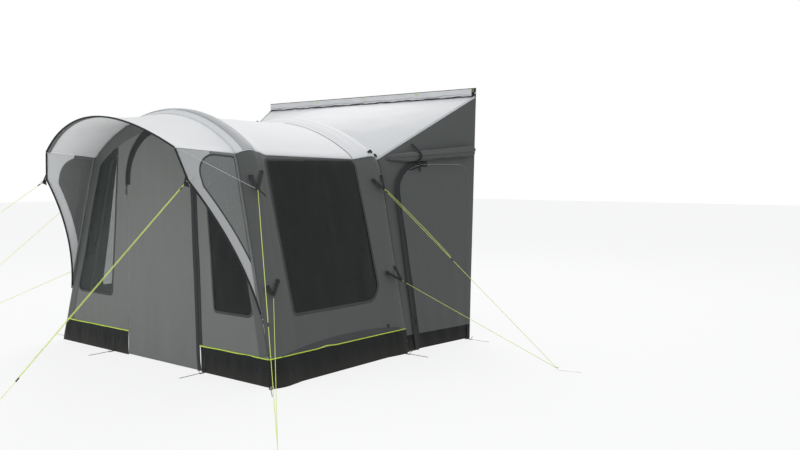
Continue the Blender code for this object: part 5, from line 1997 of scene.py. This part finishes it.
    def build_roll(self) -> None:
        """Builds the rolled flap under the roof's right edge."""
        def place(turn: float, share: float) -> Vector:
            """Point of the roll's face."""
            full = math.sin(math.pi / 2 * min(1.0, share / 0.3))
            radius = ROLL_RADIUS * (0.5 + 0.5 * full)
            radius *= min(1.0, 0.2 + share * 40.0, 0.2 + (1.0 - share) * 40.0)
            centre = self.shell.roll_middle(share, radius)[0]
            pinch = 1.0 - 0.16 * math.exp(-((share - ROLL_TIE) / 0.05) ** 2)
            layer = 0.86 + 0.2 * ((turn + 4.0 * share) % TURN / TURN)
            cleft = math.remainder(turn + 0.25, TURN)
            groove = 1.0 - 0.3 * math.exp(-(cleft / 0.2) ** 2)
            lobe = radius * pinch * layer * groove
            lobe += crumple(Vector((math.cos(turn), math.sin(turn), share * 6.0)), 0.8, 0.003)
            return centre + Vector((lobe * math.cos(turn), 0.0, lobe * math.sin(turn)))

        mesh = wrapped(64, 90, (0.3, ROLL_LENGTH), place, 1e-5)
        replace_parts(publish("tunnel_roll_cloth", mesh, DARK_SIDE), "tunnel_roll_right")

    def build_strip(self) -> None:
        """Builds the doubled strip at the vehicle, its flap, the painted shadow line along its
        foot and its bead.
        """
        shell = self.shell
        rear = shell.depth + TUNNEL_DEPTH
        width = TUNNEL_RIGHT - TUNNEL_LEFT

        def place(across: float, up: float) -> Vector:
            """Point of the strip's front face."""
            share = across / width
            wave = 0.006 * (1.0 - math.cos(TURN * 11.0 * share))
            wave *= math.sin(math.pi * up / self.strip_height)
            wave += crumple(Vector((across, up, 11.0)), 0.07, 0.0016)
            return Vector((TUNNEL_LEFT + across, rear + 0.0006 + wave, STRIP_FOOT + up))

        Cut((0.0, 0.0), (width, self.strip_height), 0.008).drape(
            "connection_strip_cloth", "connection_strip", place, LIGHT, "stretched",
            ["tunnel_roof_cloth"])

        def flap_place(across: float, up: float) -> Vector:
            """Point of the upper layer's front face, which stands off towards its free hem."""
            sway = 0.6 + 0.4 * math.sin(across * 9.0)
            off = 0.004 + 0.10 * (self.strip_height - up) * sway
            off += crumple(Vector((across, up, 3.0)), 0.11, 0.004)
            hem = 0.004 * math.sin(across * 13.0) + 0.003 * math.sin(across * 31.0)
            rise = hem * (self.strip_height - up) / self.flap_height
            return place(across, up) + Vector((0.0, -off, rise))

        Cut((0.0, self.strip_height - self.flap_height), (width, self.strip_height), 0.008).drape(
            "connection_flap_cloth", None, flap_place, LIGHT, "hung", ["connection_strip_cloth"])
        # Wavy black tape along the strip's foot, where the shadow under the strip falls: painted
        # shadow.
        line = [place(width * step / 160, 0.006 + 0.003 * math.sin(step * 0.35)
                      + 0.002 * math.sin(step * 0.9)) for step in range(161)]
        Track(line, FRONT).tape("connection_zip", (-0.007, 0.007), 0.002, BLACK_TAPE,
                                cell=0.009)
        level = STRIP_FOOT + self.strip_height + 0.0035
        bead = straight(Vector((TUNNEL_LEFT, rear + 0.002, level)),
                        Vector((TUNNEL_RIGHT, rear + 0.002, level)))
        bead = bead.tube("rail_bead_piping", 0.0034, BLACK_TAPE, step=0.05)
        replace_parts(bead, "rail_bead")


@dataclass(frozen=True)
class Guy:
    """One guy rope, by its ends in the row frame and the share of it that its strands double."""

    name: str
    peg: str
    start: Point3
    end: Point3
    out: Point3
    doubled: float = 0.0
    reach: float = 0.08
    spread: float = 0.002

    @property
    def runner(self) -> str:
        """Name of its runner's body."""
        return self.name.replace("guy_", "runner_")

    @property
    def along(self) -> Vector:
        """Direction of the rope, towards its peg."""
        return (Vector(self.end) - Vector(self.start)).normalized()

    @property
    def across(self) -> Vector:
        """Level direction square to the rope."""
        return self.along.cross(UP).normalized()

    def at(self, reach: float) -> Vector:
        """Point of the rope's line at a distance from the cloth."""
        return Vector(self.start) + self.along * reach


GUYS = (
    Guy("guy_hood_left", "hood_left", (-1.04993, -1.35687, 1.52549),
        (-2.19555, -2.93333, 0.015), (-0.9, -0.35, 0.2), reach=0.035),
    Guy("guy_hood_right", "hood_right", (0.94166, -1.35644, 1.52455),
        (0.43425, -2.54288, 0.015), (0.9, -0.35, 0.2), 0.865, 0.035),
    Guy("guy_front_left_upper", "front_left", (-1.15817, -0.78513, 1.53146),
        (-2.43896, -1.90056, 0.015), (-0.97, 0.0, 0.26)),
    Guy("guy_front_left_lower", "front_left", (-1.3637, -0.80671, 0.69906),
        (-2.44257, -1.89737, 0.015), (-0.97, 0.0, 0.26)),
    Guy("guy_front_right_upper", "front_right", (1.05512, -0.78513, 1.53144),
        (2.58415, -2.00206, 0.015), (0.97, 0.0, 0.26), 0.60, 0.12),
    Guy("guy_front_right_lower", "front_right", (1.26062, -0.80671, 0.69904),
        (2.58138, -2.006, 0.015), (0.97, 0.0, 0.26)),
    Guy("guy_rear_right_upper", "rear_right", (1.16639, 0.55535, 1.49688),
        (2.77179, 0.86745, 0.015), (0.97, 0.0, 0.26), 0.44, 0.085, 0.0115),
    Guy("guy_rear_right_lower", "rear_right", (1.32507, 0.55535, 0.68324),
        (2.77319, 0.86284, 0.015), (0.97, 0.0, 0.26), reach=0.105),
)


def taut_cord(cord: bpy.types.Object, track: Track, diameter: float, far_end: str,
              **more: object) -> None:
    """Declares a taut cord along its line.

    Args:
        cord: The cord's piece; not used.
        track: Its line, in the row frame.
        diameter: Its thickness; not used.
        far_end: What its far end is; not used.
        **more: What else is said of the cord; not used.
    """
    tuple(track.points[0])
    track.length
    [tuple(point) for point in track.points]


@dataclass
class Guys:
    """Guy ropes with their sewn tabs, rings and runners, and the cord from the hood."""

    shell: Shell
    rope: float = 0.002
    legs: tuple[Point3, ...] = ((-0.058, 0.026, 0.021), (0.060, 0.062, 0.013))

    def build(self) -> None:
        """Builds every rope with its fittings."""
        for guy in GUYS:
            self.build_rope(guy)
            self.build_tab(guy)
        self.build_hood_cord()
        LOG.info("guy ropes, tabs and runners")

    def build_hood_cord(self) -> None:
        """Builds the thin pale cord from the hood's right corner to the front guy's ring."""
        guy = next(guy for guy in GUYS if guy.name == "guy_front_right_upper")
        first = Vector(self.shell.corner) + PITCH + Vector((0.012, -0.004, 0.002))
        last = guy.at(guy.reach)
        track = straight(first, last - (last - first).normalized() * 0.012, UP, 40)
        cord = track.tube("hood_corner_cord", 0.0015, PALE_CORD, sides=8, shift=NO_SHIFT)
        taut_cord(cord, track, 0.003, "object")

    def build_rope(self, guy: Guy) -> None:
        """Builds a rope from its ring to its peg, and its second strand if it has a runner.

        Args:
            guy: The rope.
        """
        track = straight(guy.at(guy.reach), Vector(guy.end), guy.across, 60)
        rope = track.tube(f"{guy.name}_rope", self.rope, LIME_ROPE, sides=10, step=0.03,
                          shift=NO_SHIFT)
        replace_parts(rope, guy.name)
        on_rope = [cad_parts[f"guy_peg_{guy.peg}"]]
        if guy.doubled > 0.0:
            middle = Vector(guy.start).lerp(Vector(guy.end), guy.doubled)
            on_rope.append(self.build_runner(guy, middle))
            self.build_strand(guy, middle)
        taut_cord(rope, track, 2.0 * self.rope, "fitting", with_pieces=on_rope)

    def build_strand(self, guy: Guy, middle: Vector) -> None:
        """Builds the strand that runs back from the runner to the ring.

        Args:
            guy: The rope.
            middle: Middle of the runner.
        """
        side = guy.across.cross(guy.along)
        first = guy.at(guy.reach) + side * 0.0045
        last = middle - guy.along * 0.017 + side * 0.0045
        points = []
        for step in range(61):
            bow = guy.spread * math.sin(math.pi * step / 60) ** 0.35
            points.append(first.lerp(last, step / 60) + side * bow)
        track = Track(points, side)
        strand = track.tube(f"{guy.name}_strand", self.rope, LIME_ROPE, sides=10, step=0.03,
                            shift=NO_SHIFT)
        taut_cord(strand, track, 2.0 * self.rope, "object")

    def build_runner(self, guy: Guy, middle: Vector) -> bpy.types.Object:
        """Builds the moulded runner that tightens a rope.

        Args:
            guy: The rope.
            middle: Middle of the runner.

        Returns:
            The runner.
        """
        plate = bevelled_box((0.015, 0.0085, 0.032), 0.0026, 3)
        collars = [(bevelled_box((0.0165, 0.0100, 0.005), 0.0016),
                    Matrix.Translation((0.0, 0.0, offset)))
                   for offset in (-0.0115, 0.0, 0.0115)]
        runner = merge([(plate, Matrix())] + collars)
        smooth_faces(runner)
        frame = Matrix((guy.across, guy.along.cross(guy.across), guy.along))
        frame = frame.transposed().to_4x4()
        frame.translation = middle
        piece = fit(f"{guy.runner}_block", runner, frame, MOULDING)
        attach(piece, guy.runner)
        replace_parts(piece, guy.runner)
        return piece

    def build_tab(self, guy: Guy) -> None:
        """Builds the webbing, ring and toggle that hold a rope to the cloth.

        Args:
            guy: The rope.
        """
        if "hood" in guy.name:
            self.build_patch(guy)
        else:
            self.build_legs(guy)
        fit(f"{guy.name}_ring", ring(0.0105, 0.0016),
            stand(guy.at(guy.reach + 0.002), guy.across, guy.along), MOULDING)
        toggle = bevelled_box((0.010, 0.026, 0.0065), 0.0018)
        smooth_faces(toggle)
        fit(f"{guy.name}_toggle", toggle,
            stand(guy.at(guy.reach + 0.034), guy.across, guy.along), MOULDING)

    def build_legs(self, guy: Guy) -> None:
        """Builds the two webbing legs from the wall to a rope's ring, and their loose end.

        Args:
            guy: The rope.
        """
        out = Vector(guy.out).normalized()
        up = FRONT.cross(out)
        up = up if up.z > 0.0 else -up
        apex = guy.at(guy.reach)
        for number, (back, rise, half) in enumerate(self.legs):
            foot = Vector(guy.start) + Vector((0.0, back, 0.0)) + up * rise + out * 0.003
            run = (apex - foot).normalized()
            facing = run.cross(-FRONT).normalized()
            facing = facing if facing.dot(out) > 0.0 else -facing
            straight(foot - run * 0.002, apex, facing, 8).tape(
                f"{guy.name}_leg_{number}", (-half, half), 0.001, BLACK_TAPE,
                thickness=0.0018, cell=0.006, shift=NO_SHIFT)
            fit(f"{guy.name}_patch_{number}",
                bevelled_box((2.0 * half + 0.008, 0.03, 0.0022), 0.0008),
                stand(foot, out, up), BLACK_TAPE)
        if "upper" in guy.name:
            tail = Vector((0.0, 0.055, 0.0)) - up * 0.055 + out * 0.008
            points = [apex + tail * (step / 10) + out * (0.012 * math.sin(step * 0.3))
                      for step in range(11)]
            Track(points, out).tape(f"{guy.name}_tail", (-0.006, 0.006), 0.0, BLACK_TAPE,
                                    thickness=0.0014, cell=0.005, shift=NO_SHIFT)

    def build_patch(self, guy: Guy) -> None:
        """Builds the sewn patch, web and loop that hold a hood rope's ring.

        Args:
            guy: The rope.
        """
        start, along = Vector(guy.start), guy.along
        out = Vector(guy.out).normalized()
        down = (along - out * along.dot(out)).normalized()
        across = down.cross(out).normalized()
        reach, half = 0.055, 0.032
        outline = [(-half, -reach), (half, -reach), (half * 0.8, -reach * 0.35),
                   (0.011, 0.004), (-0.011, 0.004), (-half * 0.8, -reach * 0.35)]

        def place(a: float, b: float) -> Vector:
            """Point of the tab's outer face."""
            wrap = -0.9 * a * a / 0.065
            return start + across * a + down * b + out * (0.0022 + wrap - 0.05 * b * b)

        tab = Cut((-half, -reach), (half, 0.004), 0.006).trim(outline)
        tab.hang(f"{guy.name}_tab", place, GREY_TAB_AND_WING_SHADE, thickness=0.0016, shift=NO_SHIFT)
        leg = Vector((math.copysign(0.22, guy.out[0]), 0.2, -0.95)).normalized()

        def web_place(down_leg: float, ahead: float) -> Vector:
            """Point of the web between the pole's pocket and the ring."""
            return start + leg * down_leg + along * ahead

        web = Cut((-0.052, -0.004), (0.052, guy.reach), 0.005)
        web.trim([(-0.052, -0.004), (0.052, -0.004), (0.006, guy.reach), (-0.006, guy.reach)])
        web.hang(f"{guy.name}_web", web_place, BLACK_TAPE, thickness=0.002, shift=NO_SHIFT)
        straight(start - down * 0.012 + out * 0.0035, guy.at(0.017) + out * 0.001, out, 8).tape(
            f"{guy.name}_loop", (-0.0095, 0.0095), 0.0, BLACK_TAPE, thickness=0.0022,
            cell=0.004, shift=NO_SHIFT)


@dataclass(frozen=True)
class GroundStrap:
    """A sewn strap that a base peg holds down: its foot on the hem and its direction."""

    name: str
    foot: Vector
    out: Vector
    lean: Vector


@dataclass
class Trim:
    """Piping, roof tabs, ground straps and the small ties."""

    shell: Shell
    strap_half: float = 0.0125
    strap_rise: float = 0.125
    strap_off: float = 0.0035
    strap_bend: float = 0.006
    strap_foot: float = 0.0435
    tabs: tuple[Point, ...] = ((-0.327, 0.11), (-0.327, 0.065), (0.99, 0.11), (0.99, 0.012))

    def build(self) -> None:
        """Builds all the trim."""
        self.build_piping()
        self.build_bands()
        self.build_roof_tabs()
        self.build_roll_tie()
        for strap in self.straps():
            self.build_strap(strap)
        self.build_strip_ties()
        LOG.info("piping, tabs, straps and ties")

    def build_piping(self) -> None:
        """Builds the piping along the eaves, the hood's seam and the tunnel roof's edges."""
        shell = self.shell
        for side in Side:
            station = side.value * 2.0
            out = shell.front.normal(station)
            points = [shell.cloth(station, shell.depth * step / 80, 0.001)
                      for step in range(81)]
            Track(points, out).tube(f"eave_piping_{side.word}", PIPING_RADIUS, PALE_TAPE)
            inward = out.cross(-FRONT) * side.value
            for number, shift in enumerate((0.0, 0.014)):
                points = [shell.tunnel_roof(station, step / 40, 0.001) + inward * shift
                          for step in range(41)]
                Track(points, out).tube(f"tunnel_piping_{side.word}_{number}", PIPING_RADIUS,
                                        PALE_TAPE)
        stations = [-2.0 + step * 0.05 for step in range(81)]
        outs = [shell.front.normal(at) for at in stations]
        points = [shell.point(at, -0.0002) + out * 0.0008 for at, out in zip(stations, outs)]
        Track(points, outs).tube("hood_seam_piping", 0.0024, PALE_TAPE)

    def build_bands(self) -> None:
        """Builds the band of painted shade over the front beam and the seam ahead of the rear one.
        """
        shell = self.shell
        edge = shell.front.length_to(1.97)

        def place(across: float, y: float) -> Vector:
            """Point of the band's outer face."""
            return shell.cloth(shell.front.at_length(across), y, 0.0022)

        # A band of darker roof cloth over the front ridge: painted shade.
        Cut((-edge, 0.048), (edge, 0.165), 0.016).hang("front_ridge_band", place, RIDGE_PAINTED_SHADE,
                                                       thickness=0.001)
        first = shell.front.at_length(0.19)
        stations = [first + (1.97 - first) * step / 60 for step in range(61)]
        line = [shell.cloth(at, 1.30, 0.0006) for at in stations]
        Track(line, [shell.front.normal(at) for at in stations]).tape(
            "roof_seam_tape", (-0.004, 0.004), 0.0012, GREY_TAPE, cell=0.006)

    def build_roof_tabs(self) -> None:
        """Builds the small black loops along the rear ridge, in two pairs."""
        shell = self.shell
        for number, (x, behind) in enumerate(self.tabs):
            station = math.copysign(shell.front.at_length(abs(x) * 1.035), x)
            point = shell.cloth(station, shell.depth - behind)
            out = shell.front.normal(station)
            turns = [math.pi * step / 24 for step in range(25)]
            radials = [FRONT * math.cos(turn) + out * math.sin(turn) * 1.4 for turn in turns]
            Track([point + radial * 0.022 for radial in radials],
                  [radial.normalized() for radial in radials]).tape(
                f"roof_tab_{number}", (-0.012, 0.012), 0.0, BLACK_TAPE, thickness=0.0016,
                cell=0.004)

    def build_roll_tie(self) -> None:
        """Builds the strap round the rolled door, with its loose end."""
        shell = self.shell
        behind, height = shell.roll_spot(ROLL_TIE)
        centre, out, up = shell.roll_middle(ROLL_TIE, ROLL_RADIUS)
        first, last = math.radians(55.0), math.radians(-80.0)
        hug = ROLL_RADIUS * 0.92
        start = shell.tunnel_at(Side.RIGHT, behind, height + 0.118, 0.003)
        touch = centre + (out * math.cos(first) + up * math.sin(first)) * hug
        points = [start.lerp(touch, step / 10) for step in range(10)]
        outs = [out] * 10
        for step in range(25):
            turn = first + (last - first) * step / 24
            radial = out * math.cos(turn) + up * math.sin(turn)
            points.append(centre + radial * hug)
            outs.append(radial if step < 20 else out)
        foot = points[-1]
        for step in range(1, 15):
            points.append(foot + Vector((0.005 * math.sin(step * 0.4), 0.002 * step,
                                         -0.007 * step)))
            outs.append(out)
        Track(points, outs).tape("roll_tie_strap", (-0.013, 0.013), 0.003, BLACK_TAPE,
                                 thickness=0.0016, cell=0.005)

    def straps(self) -> list[GroundStrap]:
        """The straps along the hems."""
        shell = self.shell
        made = []
        for name, side, behind in (("side_left", -1.0, 0.085), ("side_right", 1.0, 1.515)):
            foot = shell.point(side * 4.0, behind, 0.0, shell.ridge_foot_rise)
            made.append(GroundStrap(name, foot, Vector((side, 0.0, 0.0)),
                                    Vector((-side * shell.front.lean, 0.0, 1.0)).normalized()))
        for name, x, turn in (("front_left", -0.61, 0.0), ("front_right", 0.66, 0.0),
                              ("front_corner", 1.42, 50.0)):
            angle = math.radians(turn)
            out = Vector((math.sin(angle), -math.cos(angle), 0.0))
            lean = Vector((-shell.front.lean * math.sin(angle), shell.rake, 1.0))
            made.append(GroundStrap(name, Vector((x, 0.0, 0.0)), out, lean.normalized()))
        foot = shell.tunnel_at(Side.RIGHT, 2.38, 0.001)
        made.append(GroundStrap("tunnel_right", foot, Vector((1.0, 0.0, 0.0)),
                                Vector((0.05, 0.0, 1.0)).normalized()))
        return made

    def build_strap(self, strap: GroundStrap) -> None:
        """Builds a strap down the skirt and out over the ground to its peg.

        Args:
            strap: The strap.
        """
        off, bend = self.strap_off, self.strap_bend
        points, outs = [], []
        for step in range(14):
            up = self.strap_rise * (1.0 - step / 14)
            points.append(strap.foot + strap.lean * (up + 0.002) + strap.out * off)
            outs.append(strap.out)
        for step in range(7):
            turn = math.pi / 2 * step / 6
            points.append(strap.foot + strap.out * (off + bend * (1.0 - math.cos(turn)))
                          + UP * (0.0025 + bend * (1.0 - math.sin(turn))))
            outs.append(strap.out * math.cos(turn) + UP * math.sin(turn))
        for step in range(1, 12):
            points.append(strap.foot + strap.out * (off + bend + self.strap_foot * step / 11)
                          + UP * 0.0025)
            outs.append(UP)
        Track(points, outs).tape(f"ground_strap_{strap.name}",
                                 (-self.strap_half, self.strap_half), 0.0, BLACK_TAPE,
                                 thickness=0.0018, cell=0.005)

    def build_strip_ties(self) -> None:
        """Builds the yellow ties on the strip and the black patch at its right end."""
        rear = self.shell.depth + TUNNEL_DEPTH
        level = STRIP_FOOT + 0.062
        for number, x in enumerate((-0.453, 0.225, 0.9365, TUNNEL_RIGHT - 0.03)):
            fit(f"strip_tie_{number}", ring(0.011, 0.0018),
                stand(Vector((x, rear - 0.014, level)), Vector((0.3, -1.0, 0.2)), UP),
                LIME_PIPING, PITCH)
        spot = (TUNNEL_RIGHT - 0.024, rear - 0.0035, STRIP_FOOT + 0.04)
        fit("strip_corner_patch", bevelled_box((0.05, 0.004, 0.078), 0.0012),
            Matrix.Translation(spot), BLACK_TAPE, PITCH)


@dataclass
class Sliders:
    """The two zip sliders with their pulls, each riding on its own slide."""

    shell: Shell
    tunnel_line: float = 1.718
    level: float = 0.30

    def build(self) -> None:
        """Builds both sliders."""
        shell = self.shell
        self.build_slider("door_zip_slider", shell.ahead(), Vector((-0.05, shell.rake, 1.0)))
        low = shell.tunnel_at(Side.RIGHT, self.tunnel_line, self.level)
        up = (shell.tunnel_at(Side.RIGHT, self.tunnel_line, self.level + 0.1) - low).normalized()
        ahead = shell.tunnel_at(Side.RIGHT, self.tunnel_line - 0.03, self.level) - low
        out = up.cross(ahead).normalized()
        self.build_slider("tunnel_zip_slider", out if out.x > 0.0 else -out, up)
        LOG.info("zip sliders")

    def build_slider(self, name: str, out: Vector, up: Vector) -> None:
        """Builds a slider's body, its bridge, its pull and the cloth tag on it.

        Args:
            name: The slider's node and body.
            out: Direction off the cloth.
            up: Direction of the zip.
        """
        low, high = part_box(name)
        frame = stand((low + high) / 2, out, up)
        body = bevelled_box((0.0115, 0.029, 0.0052), 0.0016, 3)
        for vert in body.verts:
            vert.co.x *= 1.0 + 8.0 * vert.co.y
        bridge = bevelled_box((0.0035, 0.015, 0.0028), 0.0009)
        pull = bevelled_box((0.0065, 0.030, 0.0016), 0.0006)
        whole = merge([(body, Matrix.Translation((0.0, 0.0, -0.0006))),
                       (bridge, Matrix.Translation((0.0, 0.0, 0.0033))),
                       (pull, Matrix.Translation((0.0, -0.019, 0.0060)))])
        smooth_faces(whole)
        piece = fit(f"{name}_body", whole, frame, MOULDING)
        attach(piece, name)
        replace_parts(piece, name)
        tag = bevelled_box((0.011, 0.055, 0.0020), 0.0006)
        smooth_faces(tag)
        cloth = fit(f"{name}_tag", tag, frame @ Matrix.Translation((0.0, -0.058, 0.0066)),
                    BLACK_TAPE)
        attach(cloth, name)


@dataclass
class Stage:
    """Camera, floor, light and backdrop."""

    eye: Point3 = (5.7422, -4.991, 1.57)
    turn: float = math.atan2(0.615, 0.788)

    def build(self) -> None:
        """Builds the camera, the floor, the lamps and the world."""
        camera = bpy.data.cameras.new("camera")
        camera.lens = 36.0
        camera.sensor_width = 36.0
        camera.shift_y = -0.0625
        camera.clip_end = 200.0
        view = bpy.data.objects.new("camera", camera)
        view.location = self.eye
        view.rotation_euler = (math.pi / 2, 0.0, self.turn)
        bpy.context.scene.collection.objects.link(view)
        bpy.context.scene.camera = view
        bpy.context.scene.view_settings.view_transform = "Standard"
        self.build_floor()
        self.build_lamp("key", (-2.0, 4.5, 7.5), 5.0, 260.0, (1.0, 0.985, 0.96))
        self.build_lamp("fill", (6.0, -6.0, 5.0), 6.0, 130.0, (0.95, 0.98, 1.0))
        self.build_lamp("low", (-0.6, -3.3, 0.3), 2.4, 50.0, (1.0, 1.0, 1.0),
                        (0.0, -1.2, 1.9), False)
        self.build_world()
        LOG.info("stage")

    def build_floor(self) -> None:
        """Builds the pale floor."""
        mesh = bmesh.new()
        bmesh.ops.create_grid(mesh, x_segments=1, y_segments=1, size=40.0)
        data = bpy.data.meshes.new("floor")
        mesh.to_mesh(data)
        mesh.free()
        floor = bpy.data.objects.new("floor", data)
        floor.location = (0.0, 0.0, -0.0015)
        bpy.context.scene.collection.objects.link(floor)
        material = bpy.data.materials.new("studio_floor")
        graph = Graph(material)
        colour = graph.mix(graph.noise(1.5, 3.0), (0.80, 0.80, 0.795, 1.0),
                           (0.84, 0.84, 0.835, 1.0))
        shader = graph.node("BsdfPrincipled", Base_Color=colour, Roughness=0.85)
        glow = graph.node("Emission", Color=(1.0, 1.0, 1.0, 1.0), Strength=1.0)
        graph.finish(graph.node("MixShader", in_0=graph.seen() * 0.8, in_1=shader.outputs[0],
                                in_2=glow.outputs[0]))
        data.materials.append(material)

    def build_lamp(self, name: str, spot: Point3, size: float, power: float,
                   colour: Point3, aim: Point3 = (0.0, 0.0, 1.0),
                   mirrored: bool = True) -> None:
        """Builds a square lamp that looks at the awning.

        Args:
            name: Name of the lamp.
            spot: Where it hangs.
            size: Its side.
            power: Its power in watts.
            colour: Its colour.
            aim: The point that it looks at.
            mirrored: Whether gloss shows it.
        """
        data = bpy.data.lights.new(name, "AREA")
        data.shape = "SQUARE"
        data.size = size
        data.energy = power
        data.color = colour
        lamp = bpy.data.objects.new(name, data)
        lamp.location = spot
        look = Vector(aim) - Vector(spot)
        lamp.rotation_euler = look.to_track_quat("-Z", "Y").to_euler()
        lamp.visible_camera = False
        lamp.visible_glossy = mirrored
        bpy.context.scene.collection.objects.link(lamp)

    def build_world(self) -> None:
        """Sets even light from all round, in front of a white backdrop."""
        world = bpy.data.worlds.new("studio")
        graph = Graph(world)
        light = graph.node("Background", Color=(0.95, 0.97, 1.0, 1.0), Strength=0.72)
        white = graph.node("Background", Color=(1.0, 1.0, 1.0, 1.0), Strength=1.0)
        graph.finish(graph.node("MixShader", in_0=graph.seen(), in_1=light.outputs[0],
                                in_2=white.outputs[0]), "World")
        bpy.context.scene.world = world


def paint_pegs() -> None:
    """Gives the pegs, which stay as packed, their zinc finish."""
    for name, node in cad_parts.items():
        if name.startswith(("base_peg_", "guy_peg_")):
            node.data.materials.clear()
            node.data.materials.append(STEEL.make())


def main() -> None:
    """Builds the whole scene."""
    logging.basicConfig(level=logging.INFO, format="%(name)s: %(message)s")
    Stage().build()
    shell = Shell()
    paint_pegs()
    Guys(shell).build()
    BodyShell(shell).build()
    FrontWall(shell).build()
    Hood(shell).build()
    Beams(shell).build()
    Tunnel(shell).build()
    Trim(shell).build()
    Sliders(shell).build()


if __name__ == "__main__":
    main()
